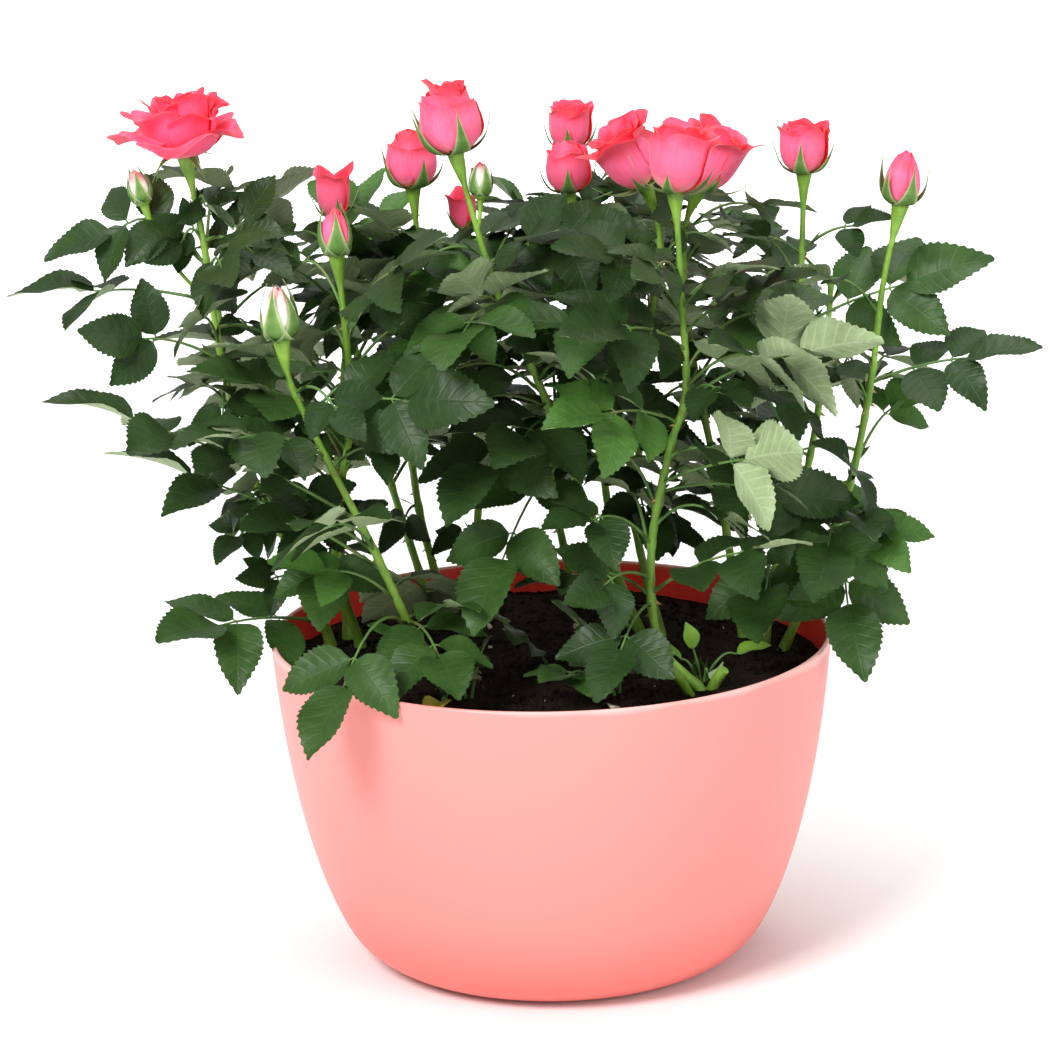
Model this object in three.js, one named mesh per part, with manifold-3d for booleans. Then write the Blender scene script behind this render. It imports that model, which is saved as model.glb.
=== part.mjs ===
// A pot-grown rose bush: a round plastic bowl filled with soil, a clump of canes that rise from it,
// the leafy top of each cane, and the pink blooms. Millimetres, +Z up, the front towards -Y.
// The origin is the centre of the pot's flat underside.
import * as THREE from "three";
import { mergeVertices } from "three/addons/utils/BufferGeometryUtils.js";
import Module from "manifold-3d";

const wasm = await Module();
wasm.setup();

// ---------------------------------------------------------------- driving dimensions
const POT = { height: 143, rim: 120, base: 61, wall: 2.2, floor: 3, sides: 48, rows: 8 };
// The bowl's edge turns up from the flat base, then the side runs up to the rim as one long curve.
const POT_HEEL = { corner: 78, radius: 88, height: 12, rows: 2 };
const POT_SIDE = { heelHandle: 6, rimHandleRadius: 113, rimHandleHeight: 51 };
const SOIL = { belowRim: 13, sides: 32 };
const GAP = 0.3; // clearance that keeps two touching solids apart
const GROUND = POT.height - SOIL.belowRim + GAP; // height of every cane's flat cut

const CANE = { foot: 2.2, flare: 0.9, flareHeight: 7, top: 1.3, sides: 6, step: 26 };
const NECK = { length: 15, high: 2.9 }; // the swelling stalk under a bloom
const LEAF = { step: 15, turn: 144, length: 92, lift: 8, liftSpread: 46, belowBloom: 22, belowTip: 5 };
const PLACING = { clear: 0.5, tries: 12, wholeTries: 8, swing: 11 }; // later tries give a smaller leaf
const RIB = { half: 0.8, thick: 0.55, notch: 1.6 }; // the leaf stalk that carries the leaflets
// Leaflets: the end one's share of the leaf and its limits, then shape as shares of a leaflet's length.
const LEAFLET = { share: 0.44, least: 24, most: 42, side: 0.86, angle: 58, belly: 0.42, wide: 0.56 };
const LEAFLET_BEND = { fold: 0.1, droop: 0.22 };
// Where leaves may end: an oval in plan, widest above the middle, with a top that slopes down to the right.
const CROWN = {
  x: 1, y: 12, halfX: 176, halfY: 166, low: 142, wide: 290, high: 326, slope: -0.07, lowShare: 0.78,
};
const OUTWARD = 0.8; // how far leaves face out from the middle of the bush instead of up
const SHARE = 42; // how much nearer to another cane a leaf's tip may be than to its own

// One row a cane: its foot on the soil, the bends it passes, its head under the bloom, the share of its
// length that is bare below its leafy top, the bearing of its lowest leaf, and the bloom's kind and size.
const CANES = [
  {
    name: "left_outer", foot: [-96, 27], head: [-147, -20, 354], bare: 0.2, turn: 200, bloom: "open",
    bends: [[-104, 8, 165], [-124, -6, 212], [-136, -16, 270], [-141, -20, 318]],
  },
  {
    name: "left_rear", foot: [-89, 38], head: [-89, 30, 319], bare: 0.22, turn: 120, bloom: "loose",
    size: 0.86, bends: [[-92, 42, 200], [-86, 38, 270]],
  },
  {
    name: "left_inner", foot: [-83, 24], head: [-85, -42, 316], bare: 0.25, turn: 235, bloom: "bud",
    bends: [[-92, 4, 178], [-82, -24, 245], [-83, -38, 290]],
  },
  {
    name: "front_left", foot: [-37, -35], head: [-107, -70, 287], bare: 0.2, turn: 190, bloom: "bud",
    size: 1.12, bends: [[-54, -43, 150], [-74, -50, 196], [-97, -60, 249], [-105, -68, 272]],
  },
  {
    name: "back_left", foot: [-47, 78], head: [-55, 20, 333], bare: 0.34, turn: 250, bloom: "half",
    size: 0.95, bends: [[-58, 62, 187], [-60, 45, 240], [-54, 26, 300]],
  },
  {
    name: "back_middle", foot: [-36, 72], head: [-34, 46, 310], bare: 0.36, turn: 60, bloom: "loose",
    size: 0.7, bends: [[-30, 60, 200], [-30, 50, 260]],
  },
  {
    name: "centre", foot: [39, 40], head: [-36, -16, 353], bare: 0.3, turn: 215, bloom: "half", size: 1.1,
    bends: [[26, 28, 168], [14, 14, 200], [-3, -4, 252], [-20, -13, 294]],
  },
  {
    name: "centre_rear", foot: [32, 50], head: [11, 34, 327], bare: 0.36, turn: 300, bloom: "half",
    size: 0.85, bends: [[24, 50, 200], [16, 40, 262]],
  },
  {
    name: "rear_middle", foot: [12, 84], head: [12, 62, 341], bare: 0.34, turn: 80, bloom: "half",
    size: 0.85, bends: [[2, 84, 190], [10, 74, 260]],
  },
  {
    name: "front_right", foot: [62, -49], head: [54, -35, 338], bare: 0.19, turn: 330, bloom: "wide",
    bends: [[46, -46, 148], [42, -45, 186], [51, -42, 234], [57, -41, 254], [56, -38, 296]],
  },
  {
    name: "right_inner", foot: [48, 34], head: [43, 16, 333], bare: 0.22, turn: 20, bloom: "wide",
    size: 0.92, bends: [[36, 38, 190], [38, 34, 240], [49, 22, 298], [48, 19, 317]],
  },
  {
    name: "right_rear", foot: [84, 30], head: [67, 45, 326], bare: 0.2, turn: 100, bloom: "wide",
    size: 0.92, bends: [[74, 46, 195], [62, 52, 262], [61, 46, 310]],
  },
  {
    name: "right_upright", foot: [92, 14], head: [110, 19, 336], bare: 0.18, turn: 260, bloom: "half",
    size: 0.92, bends: [[100, 22, 180], [108, 24, 240], [109, 21, 290]],
  },
  {
    name: "right_outer", foot: [100, 8], head: [149, 0, 325], bare: 0.26, turn: 350, bloom: "bud",
    size: 1.2, bends: [[115, 8, 165], [128, 4, 203], [137, 0, 250], [142, 0, 292]],
  },
  {
    name: "rear_left", foot: [-54, 88], head: [-92, 108, 282], bare: 0.33, turn: 40,
    bends: [[-72, 98, 190], [-84, 104, 240]],
  },
  {
    name: "rear_right", foot: [24, 92], head: [50, 116, 285], bare: 0.33, turn: 160,
    bends: [[40, 104, 190], [46, 112, 240]],
  },
  {
    name: "far_right_rear", foot: [92, 36], head: [126, 80, 280], bare: 0.33, turn: 10,
    bends: [[112, 58, 190], [122, 72, 240]],
  },
  {
    name: "far_left_rear", foot: [-98, 42], head: [-146, 62, 292], bare: 0.33, turn: 110,
    bends: [[-122, 56, 195], [-138, 60, 250]],
  },
];

// Side shoots that end in a small green bud: the cane, how far up it, and where the bud sits.
const SHOOT_BUD = 0.62; // the bud's size
const SHOOTS = [
  { cane: "left_outer", at: 0.72, head: [-166, -22, 330] },
  { cane: "centre", at: 0.86, head: [-25, -16, 332] },
];

// The leaves that set the outline: the cane, how far up it, where the tip reaches, the pairs of leaflets,
// how far the leaf is rolled round the way it points, and its stalk's rise where that isn't the usual 9.
const REACHES = [
  { cane: "left_outer", at: 0.68, tip: [-208, -24, 317], pairs: 2, roll: -55, arch: 26 },
  { cane: "left_outer", at: 0.5, tip: [-225, -12, 297], pairs: 2, roll: 25 },
  { cane: "left_outer", at: 0.42, tip: [-193, -42, 285], pairs: 2, roll: -30 },
  { cane: "left_outer", at: 0.76, tip: [-112, -14, 342], pairs: 2, roll: 30 },
  { cane: "left_outer", at: 0.21, tip: [-166, -50, 166], pairs: 2, roll: -35, arch: -8 },
  { cane: "left_outer", at: 0.3, tip: [-160, -34, 196], pairs: 2, roll: -40 },
  { cane: "front_left", at: 0.5, tip: [-201, -77, 266], pairs: 3, roll: 30 },
  { cane: "front_left", at: 0.36, tip: [-182, -34, 232], pairs: 2, roll: 0 },
  { cane: "front_left", at: 0.78, tip: [-24, -104, 268], pairs: 2, roll: 20 },
  { cane: "front_left", at: 0.68, tip: [-150, -118, 258], pairs: 2, roll: -20 },
  { cane: "left_inner", at: 0.3, tip: [-104, -128, 124], pairs: 1, roll: 0, arch: 24 },
  { cane: "front_left", at: 0.42, tip: [-98, -128, 226], pairs: 2, roll: 0 },
  { cane: "centre", at: 0.72, tip: [-42, -112, 286], pairs: 2, roll: 0 },
  { cane: "centre", at: 0.8, tip: [44, -40, 322], pairs: 2, roll: 10 },
  { cane: "centre", at: 0.4, tip: [-34, -80, 164], pairs: 2, roll: 0, arch: 16 },
  { cane: "centre", at: 0.52, tip: [-42, -84, 214], pairs: 2, roll: 0 },
  { cane: "front_left", at: 0.22, tip: [-36, -110, 147], pairs: 2, roll: 0 },
  { cane: "front_right", at: 0.2, tip: [18, -114, 146], pairs: 1, roll: 0 },
  { cane: "front_right", at: 0.62, tip: [134, -80, 287], pairs: 2, roll: -35 },
  { cane: "front_right", at: 0.44, tip: [88, -122, 246], pairs: 2, roll: -30 },
  { cane: "front_right", at: 0.78, tip: [92, -84, 318], pairs: 2, roll: 20 },
  { cane: "front_right", at: 0.7, tip: [8, -104, 296], pairs: 2, roll: 0 },
  { cane: "front_right", at: 0.22, tip: [112, -98, 208], pairs: 2, roll: 0 },
  { cane: "front_right", at: 0.5, tip: [-14, -92, 240], pairs: 2, roll: 0 },
  { cane: "right_outer", at: 0.58, tip: [206, -22, 266], pairs: 3, roll: 50 },
  { cane: "right_outer", at: 0.68, tip: [187, 6, 301], pairs: 2, roll: -30 },
  { cane: "right_outer", at: 0.3, tip: [147, -52, 182], pairs: 2, roll: 40 },
  { cane: "right_outer", at: 0.27, tip: [128, -61, 132], pairs: 1, roll: 0, arch: 20 },
  { cane: "right_upright", at: 0.66, tip: [146, 4, 322], pairs: 2, roll: 30 },
  { cane: "right_upright", at: 0.5, tip: [84, -70, 262], pairs: 2, roll: 0 },
  { cane: "back_left", at: 0.8, tip: [-98, -14, 334], pairs: 2, roll: 0 },
  { cane: "centre_rear", at: 0.78, tip: [-2, -34, 324], pairs: 2, roll: 0 },
];

// Each bloom's cup as shares of BLOOM_SIZE: its widest radius and height, how far up it is widest, its
// mouth, and the fold of petals inside the mouth. petals are the rings of free petals round the cup.
const BLOOM_SIZE = { radius: 13, height: 27 };
const BLOOMS = {
  bud: { radius: 0.55, height: 0.72, belly: 0.36, mouth: 0.2, core: [], petals: [] },
  half: { radius: 0.86, height: 1.04, belly: 0.4, mouth: 0.74, core: [0.9], petals: [] },
  loose: {
    radius: 0.74, height: 0.95, belly: 0.45, mouth: 0.9, core: [0.75],
    petals: [{ count: 4, reach: 1.3, lift: 1.02, wide: 0.7 }],
  },
  wide: {
    radius: 1.06, height: 1, belly: 0.5, mouth: 1.02, core: [0.9],
    petals: [{ count: 4, reach: 1.42, lift: 0.86, wide: 1.25 }],
  },
  open: {
    radius: 1.1, height: 0.78, belly: 0.5, mouth: 1.15, core: [0.95],
    petals: [
      { count: 5, reach: 1.75, lift: 0.66, wide: 1.5 },
      { count: 5, reach: 2.25, lift: 0.4, wide: 1.7 },
    ],
  },
};
const PETAL = { half: 0.5, cup: 0.16 };
const CUP_SIDES = 8;

const COLOURS = {
  pot: { color: 0xffaaa0, roughness: 0.42 },
  soil: { color: 0x1f1613, roughness: 1 },
  cane: { color: 0x6f9a3a, roughness: 0.55 },
  foliage: { color: 0x2f5a35, roughness: 0.55 },
  bloom: { color: 0xf2476a, roughness: 0.6 },
};

// ---------------------------------------------------------------- helpers
const V = (x, y, z) => new THREE.Vector3(x, y, z);
const UP = V(0, 0, 1);
const lerp = THREE.MathUtils.lerp;
const radians = THREE.MathUtils.degToRad;

// The same numbers in the same order for the same seed.
function seeded(seed) {
  let a = seed >>> 0;
  return () => {
    a = (a + 0x6d2b79f5) >>> 0;
    let t = a;
    t = Math.imul(t ^ (t >>> 15), t | 1);
    t ^= t + Math.imul(t ^ (t >>> 7), t | 61);
    return ((t ^ (t >>> 14)) >>> 0) / 4294967296;
  };
}

// A closed three.js geometry as a solid that can be joined and cut.
function solidOf(geometry) {
  const bare = geometry.index ? geometry.toNonIndexed() : geometry.clone();
  bare.deleteAttribute("normal");
  bare.deleteAttribute("uv");
  const merged = mergeVertices(bare, 1e-4);
  const mesh = new wasm.Mesh({
    numProp: 3,
    vertProperties: new Float32Array(merged.attributes.position.array),
    triVerts: new Uint32Array(merged.index.array),
  });
  return new wasm.Manifold(mesh);
}

function geometryOf(solid) {
  const mesh = solid.getMesh();
  const positions = new Float32Array(mesh.numVert * 3);
  for (let i = 0; i < mesh.numVert; i++) {
    positions.set(mesh.vertProperties.subarray(i * mesh.numProp, i * mesh.numProp + 3), i * 3);
  }
  const geometry = new THREE.BufferGeometry();
  geometry.setAttribute("position", new THREE.BufferAttribute(positions, 3));
  geometry.setIndex(new THREE.BufferAttribute(mesh.triVerts, 1));
  return geometry;
}

// A round bar bent along a curve, with flat ends. side gives the direction its first edge faces.
function bentBar(curve, radiusAt, sides, steps, side, levelFoot = false) {
  const geometry = new THREE.CylinderGeometry(1, 1, 1, sides, steps);
  const place = geometry.attributes.position;
  for (let i = 0; i < place.count; i++) {
    const t = THREE.MathUtils.clamp(place.getY(i) + 0.5, 0, 1);
    const along = levelFoot && t === 0 ? UP.clone() : curve.getTangentAt(t);
    const across = side.clone().addScaledVector(along, -side.dot(along)).normalize();
    const out = across.clone().cross(along);
    const p = curve.getPointAt(t);
    p.addScaledVector(across, place.getX(i) * radiusAt(t));
    p.addScaledVector(out, place.getZ(i) * radiusAt(t));
    place.setXYZ(i, p.x, p.y, p.z);
  }
  return geometry;
}

// The stretch of a curve between two shares of its length.
class Stretch extends THREE.Curve {
  constructor(whole, from, to) {
    super();
    Object.assign(this, { whole, from, to });
  }
  getPoint(t, target = new THREE.Vector3()) {
    return this.whole.getPointAt(lerp(this.from, this.to, t), target);
  }
}

const boxesMeet = (a, b) => [0, 1, 2].every((k) => a.min[k] < b.max[k] && b.min[k] < a.max[k]);
const meets = (a, b) => boxesMeet(a.box, b.box) && !a.solid.intersect(b.solid).isEmpty();
const piece = (geometry, owner) => {
  const solid = solidOf(geometry);
  return { solid, owner, box: solid.boundingBox() };
};

// ---------------------------------------------------------------- pot and soil
// The bowl's side from the foot's edge to the rim, moved inwards by inset.
function bowlSide(inset) {
  const corner = new THREE.Vector2(POT_HEEL.corner, 0);
  const top = new THREE.Vector2(POT_HEEL.radius, POT_HEEL.height);
  const heel = new THREE.QuadraticBezierCurve(new THREE.Vector2(POT.base, 0), corner, top);
  const side = new THREE.CubicBezierCurve(
    top,
    top.clone().addScaledVector(heel.getTangent(1), POT_SIDE.heelHandle),
    new THREE.Vector2(POT_SIDE.rimHandleRadius, POT_SIDE.rimHandleHeight),
    new THREE.Vector2(POT.rim, POT.height),
  );
  const inwards = (curve, t) => {
    const along = curve.getTangent(t);
    return curve.getPoint(t).add(new THREE.Vector2(-along.y, along.x).multiplyScalar(inset));
  };
  const points = [];
  for (let i = 0; i < POT_HEEL.rows; i++) points.push(inwards(heel, i / POT_HEEL.rows));
  for (let i = 0; i <= POT.rows; i++) points.push(inwards(side, i / POT.rows));
  return points;
}

function turned(profile, sides) {
  return new THREE.LatheGeometry(profile, sides).rotateX(Math.PI / 2);
}

function potGeometry() {
  const outside = bowlSide(0);
  const inside = bowlSide(POT.wall).filter((p) => p.y > POT.floor + 0.5 && p.y < POT.height - 1);
  const lip = [new THREE.Vector2(POT.rim - POT.wall, POT.height)];
  const floor = [new THREE.Vector2(POT.base, POT.floor), new THREE.Vector2(0, POT.floor)];
  return turned([new THREE.Vector2(0, 0), ...outside, ...lip, ...inside.reverse(), ...floor], POT.sides);
}

function soilGeometry() {
  const top = POT.height - SOIL.belowRim;
  const inset = POT.wall + GAP;
  const low = POT.floor + GAP;
  const inside = bowlSide(inset).filter((p) => p.y > low + 1 && p.y < top - 2);
  const edge = bowlSide(inset).findLast((p) => p.y <= top);
  const rim = bowlSide(inset).find((p) => p.y > top);
  const share = (top - edge.y) / (rim.y - edge.y);
  const brim = new THREE.Vector2(lerp(edge.x, rim.x, share) - GAP, top);
  const foot = new THREE.Vector2(POT.base - GAP, low);
  return turned([new THREE.Vector2(0, low), foot, ...inside, brim, new THREE.Vector2(0, top)], SOIL.sides);
}

// ---------------------------------------------------------------- canes
function caneCurve({ foot, bends, head }) {
  const points = [[...foot, GROUND], ...bends, head].map((p) => V(...p));
  return new THREE.CatmullRomCurve3(points, false, "centripetal");
}

// The cane's radius at a share of its length: a flared foot, an even taper, a swelling neck under a bloom.
function caneRadius(cane, share) {
  const fromFoot = share * cane.length;
  const fromHead = cane.length - fromFoot;
  const taper = lerp(CANE.foot, CANE.top, share);
  const flare = CANE.flare * Math.exp(-fromFoot / CANE.flareHeight);
  if (!cane.bloom || fromHead > NECK.length) return taper + flare;
  return lerp(NECK.high, taper, Math.pow(fromHead / NECK.length, 0.6)) * cane.size ** 0.5;
}

function caneBar(cane, from, to) {
  const steps = Math.max(3, Math.round(((to - from) * cane.length) / CANE.step));
  const radiusAt = (t) => caneRadius(cane, lerp(from, to, t));
  return bentBar(new Stretch(cane.curve, from, to), radiusAt, CANE.sides, steps, V(1, 0, 0), from === 0);
}

// ---------------------------------------------------------------- leaves
// A compound leaf as one thin closed body: a rib from root to the end leaflet, with pairs of leaflets.
// Its edge is one loop. Each point of the loop belongs to a knot of the rib, which its faces fan out from.
// grow makes it larger all round, for the clearance test.
function leafGeometry({ root, tip, pairs, facing, arch }, random, grow) {
  const length = root.distanceTo(tip);
  const forward = tip.clone().sub(root).normalize();
  const side = forward.clone().cross(facing).normalize();
  const last = THREE.MathUtils.clamp(length * LEAFLET.share, LEAFLET.least, LEAFLET.most);
  const end = root.clone().addScaledVector(forward, length - last).addScaledVector(UP, arch * 0.4);
  const middle = root.clone().lerp(end, 0.5).addScaledVector(UP, arch);
  const stalk = new THREE.QuadraticBezierCurve3(root, middle, end);
  const shares = [0];
  for (let pair = 1; pair <= pairs; pair++) shares.push(0.84 - ((pairs - pair) * 0.8) / pairs);
  shares.push(1);

  const knots = shares.map((share) => stalk.getPoint(share));
  const rights = [];
  const lefts = [];
  shares.forEach((share, k) => {
    const along = stalk.getTangent(share);
    const up = side.clone().cross(along).normalize();
    const isEnd = k === knots.length - 1;
    for (const hand of [1, -1]) {
      const list = hand > 0 ? rights : lefts;
      const edge = (ahead, out, rise = 0) => {
        const point = knots[k].clone().addScaledVector(along, ahead).addScaledVector(up, rise);
        list.push([point.addScaledVector(side, hand * out), k]);
      };
      if (k === 0 || isEnd) edge(0, RIB.half + grow);
      if (k === 0) continue;
      const angle = isEnd ? 0 : radians(LEAFLET.angle + 10 * (random() - 0.5));
      const size = isEnd ? last : last * LEAFLET.side * (0.9 + 0.2 * random()) * lerp(0.82, 1, k / pairs);
      const wide = size * LEAFLET.wide * 0.5 + grow;
      const fold = size * LEAFLET_BEND.fold * (0.4 + 1.2 * random());
      const droop = size * LEAFLET_BEND.droop * (0.2 + 1.6 * random());
      const belly = size * LEAFLET.belly;
      const [cos, sin] = [Math.cos(angle), Math.sin(angle)];
      if (isEnd) {
        edge(belly, wide, fold);
        continue;
      }
      edge(-RIB.notch - grow, RIB.half + grow);
      edge(belly * cos - wide * sin, belly * sin + wide * cos, fold - droop * 0.2);
      edge((size + grow) * cos, (size + grow) * sin, -droop);
      edge(belly * cos + wide * sin, belly * sin - wide * cos, fold - droop * 0.2);
      edge(RIB.notch + grow, RIB.half + grow);
    }
  });
  const point = tip.clone().addScaledVector(forward, grow);
  const loop = [...rights, [point, knots.length - 1], ...lefts.reverse()];

  const corners = loop.map(([place]) => place);
  const top = corners.length;
  const bottom = top + knots.length;
  for (const sign of [1, -1]) {
    shares.forEach((share, k) => {
      const up = side.clone().cross(stalk.getTangent(share)).normalize();
      corners.push(knots[k].clone().addScaledVector(up, sign * (RIB.thick + grow)));
    });
  }
  const faces = [];
  loop.forEach(([, from], i) => {
    const next = (i + 1) % loop.length;
    const to = loop[next][1];
    faces.push(top + from, i, next, bottom + from, next, i);
    if (from !== to) faces.push(top + from, next, top + to, bottom + from, bottom + to, next);
  });
  const geometry = new THREE.BufferGeometry().setFromPoints(corners);
  geometry.setIndex(faces);
  return geometry;
}

function crownShare(p) {
  const rise = THREE.MathUtils.clamp((p.z - CROWN.low) / (CROWN.wide - CROWN.low), 0, 1);
  const shape = lerp(CROWN.lowShare, 1, rise);
  return Math.hypot((p.x - CROWN.x) / (CROWN.halfX * shape), (p.y - CROWN.y) / (CROWN.halfY * shape));
}

function distanceTo(cane, p) {
  return Math.min(...cane.marks.map((mark) => mark.distanceTo(p)));
}

// Whether a tip is inside the crown and inside the cane's own space.
function isHome(cane, canes, tip) {
  const high = CROWN.high + CROWN.slope * tip.x;
  if (tip.z < CROWN.low || tip.z > high || crownShare(tip) > 1) return false;
  const own = distanceTo(cane, tip);
  return canes.every((other) => other === cane || distanceTo(other, tip) > own - SHARE);
}

// The way a leaf faces: up and away from the middle of the bush, rolled round the way it points.
function facingOf(root, tip, roll) {
  const out = root.clone().lerp(tip, 0.6).setZ(0).sub(V(CROWN.x, CROWN.y, 0)).normalize();
  const forward = tip.clone().sub(root).normalize();
  return UP.clone().addScaledVector(out, OUTWARD).applyAxisAngle(forward, radians(roll));
}

// Adds a leaf to a cane if nothing is in its way.
function tryLeaf(cane, taken, leaf, seed) {
  const test = piece(leafGeometry(leaf, seeded(seed), PLACING.clear), cane);
  if (taken.some((other) => other !== cane.stem && meets(test, other))) return false;
  const exact = piece(leafGeometry(leaf, seeded(seed), 0), cane);
  cane.parts.push(exact);
  taken.push(exact);
  return true;
}

// ---------------------------------------------------------------- blooms
// A petal: a thin, folded, curled oval blade.
function bladeGeometry(root, along, normal, length, width, half) {
  const across = normal.clone().cross(along).normalize();
  const outline = [[0, 0], [0.45, 0.5], [0.95, 0.3], [0.95, -0.3], [0.45, -0.5]];
  const point = (share, side, height) =>
    root
      .clone()
      .addScaledVector(along, share * length)
      .addScaledVector(across, side * width)
      .addScaledVector(normal, height + Math.abs(side) * PETAL.cup * length);
  const corners = outline.map(([share, side]) => point(share, side, 0));
  corners.push(point(0.55, 0, half), point(0.55, 0, -half));
  const faces = [];
  for (let i = 0; i < outline.length; i++) {
    const next = (i + 1) % outline.length;
    faces.push(next, i, outline.length, i, next, outline.length + 1);
  }
  const geometry = new THREE.BufferGeometry().setFromPoints(corners);
  geometry.setIndex(faces);
  return geometry;
}

function cupGeometry(kind, size) {
  const radius = BLOOM_SIZE.radius * kind.radius * size;
  const height = BLOOM_SIZE.height * kind.height * size;
  const at = (r, z) => new THREE.Vector2(radius * r, height * z);
  const profile = [at(0, 0), at(0.42, 0.02), at(0.86, kind.belly * 0.5), at(1, kind.belly)];
  profile.push(at((1 + kind.mouth) / 2, 0.8), at(kind.mouth, kind.core.length ? 0.96 : 1));
  for (const share of kind.core) {
    profile.push(at(kind.mouth * 0.72 * share, 0.8), at(kind.mouth * 0.56 * share, 0.98));
  }
  profile.push(at(0, kind.core.length ? 0.86 : 1.04));
  return turned(profile, CUP_SIDES);
}

function petalGeometry(kind, ring, turn, size) {
  const radius = BLOOM_SIZE.radius * kind.radius * size;
  const height = BLOOM_SIZE.height * kind.height * size;
  const out = V(Math.cos(turn), Math.sin(turn), 0);
  const inner = out.clone().multiplyScalar(radius * 0.45).setZ(height * 0.12);
  const reach = BLOOM_SIZE.radius * size * ring.reach * 0.92;
  const outer = out.clone().multiplyScalar(reach).setZ(height * ring.lift);
  const along = outer.clone().sub(inner);
  const length = along.length();
  along.normalize();
  const side = V(-out.y, out.x, 0);
  const normal = along.clone().cross(side).normalize();
  return bladeGeometry(inner, along, normal, length, BLOOM_SIZE.radius * size * ring.wide, PETAL.half);
}

// A bloom, base at the origin and opening up +Z.
function bloomSolid(kindName, size) {
  const kind = BLOOMS[kindName];
  let solid = solidOf(cupGeometry(kind, size));
  kind.petals.forEach((ring, r) => {
    for (let i = 0; i < ring.count; i++) {
      const turn = ((i + r * 0.5) / ring.count) * 2 * Math.PI;
      solid = solid.add(solidOf(petalGeometry(kind, ring, turn, size)));
    }
  });
  return solid;
}

function standing(solid, at, way) {
  const turn = new THREE.Quaternion().setFromUnitVectors(UP, way);
  const matrix = new THREE.Matrix4().compose(at, turn, V(1, 1, 1));
  return solid.transform(matrix.elements);
}

// ---------------------------------------------------------------- assembly
const meshes = [];
function addMesh(name, geometry, colour) {
  const mesh = new THREE.Mesh(geometry, new THREE.MeshStandardMaterial({ ...colour, metalness: 0 }));
  mesh.name = name;
  meshes.push(mesh);
}

const pot = piece(potGeometry(), null);
const soil = piece(soilGeometry(), null);
addMesh("pot", geometryOf(pot.solid), COLOURS.pot);
addMesh("soil", geometryOf(soil.solid), COLOURS.soil);

const canes = CANES.map((row) => {
  const cane = { size: 1, ...row, parts: [] };
  cane.curve = caneCurve(cane);
  cane.length = cane.curve.getLength();
  cane.marks = cane.curve.getSpacedPoints(24);
  return cane;
});

const taken = [pot, soil];
for (const cane of canes) {
  cane.limb = piece(caneBar(cane, 0, cane.bare), cane);
  cane.stem = piece(caneBar(cane, cane.bare + GAP / cane.length, 1), cane);
  taken.push(cane.limb, cane.stem);
  cane.parts.push(cane.stem);
  if (!cane.bloom) continue;
  const head = cane.curve.getPointAt(1);
  const way = cane.curve.getTangentAt(1);
  const solid = standing(bloomSolid(cane.bloom, cane.size), head.addScaledVector(way, GAP), way);
  cane.flower = { solid, owner: cane, box: solid.boundingBox() };
  taken.push(cane.flower);
}

for (const shoot of SHOOTS) {
  const cane = canes.find((c) => c.name === shoot.cane);
  const root = cane.curve.getPointAt(shoot.at);
  const head = V(...shoot.head);
  const middle = root.clone().lerp(head, 0.45).add(V((head.x - root.x) * 0.3, (head.y - root.y) * 0.3, -3));
  const stalk = new THREE.QuadraticBezierCurve3(root, middle, head);
  const bar = piece(bentBar(stalk, (t) => lerp(1.1, 2.0, t ** 3), 6, 3, V(1, 0, 0)), cane);
  const seat = head.clone().addScaledVector(UP, -0.5);
  const bud = standing(bloomSolid("bud", SHOOT_BUD), seat, stalk.getTangent(1));
  const parts = [bar, { solid: bud, owner: cane, box: bud.boundingBox() }];
  cane.parts.push(...parts);
  taken.push(...parts);
}

REACHES.forEach((reach, i) => {
  const cane = canes.find((c) => c.name === reach.cane);
  const tip = V(...reach.tip);
  let placed = false;
  for (let go = 0; go < PLACING.tries && !placed; go++) {
    const at = reach.at + (go % 3) * 0.012 * (go > 4 ? -1 : 1);
    const root = cane.curve.getPointAt(at);
    const facing = facingOf(root, tip, reach.roll + (go % 2 ? go : -go) * 4);
    const leaf = { root, tip, pairs: reach.pairs, facing, arch: reach.arch ?? 9 };
    placed = tryLeaf(cane, taken, leaf, 9000 + i * 31 + go);
  }
});

// The rest of the leaves, a node at a time up every cane, each at the golden turn of its own stem.
const mostNodes = Math.ceil(Math.max(...canes.map((c) => c.length * (1 - c.bare))) / LEAF.step);
for (let node = 0; node < mostNodes; node++) {
  canes.forEach((cane, number) => {
    const at = cane.bare + (8 + node * LEAF.step) / cane.length;
    if (at > 1 - (cane.bloom ? LEAF.belowBloom : LEAF.belowTip) / cane.length) return;
    const random = seeded(number * 1000 + node);
    const rise = (at - cane.bare) / (1 - cane.bare);
    for (let go = 0; go < PLACING.tries; go++) {
      const bearing = radians(cane.turn + node * LEAF.turn + (go % 2 ? go : -go) * PLACING.swing);
      const lift = radians(LEAF.lift + LEAF.liftSpread * (random() - 0.5));
      const small = go >= PLACING.wholeTries;
      const length = LEAF.length * (0.8 + 0.35 * random()) * lerp(1, 0.86, rise) * (small ? 0.75 : 1);
      const way = V(Math.cos(bearing) * Math.cos(lift), Math.sin(bearing) * Math.cos(lift), Math.sin(lift));
      const root = cane.curve.getPointAt(at);
      const tip = root.clone().addScaledVector(way, length);
      if (!isHome(cane, canes, tip)) continue;
      const facing = facingOf(root, tip, 50 * (random() - 0.5));
      const leaf = { root, tip, pairs: small ? 1 : 2, facing, arch: 6 + 10 * random() };
      if (tryLeaf(cane, taken, leaf, number * 1000 + node * 20 + go)) return;
    }
  });
}

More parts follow.
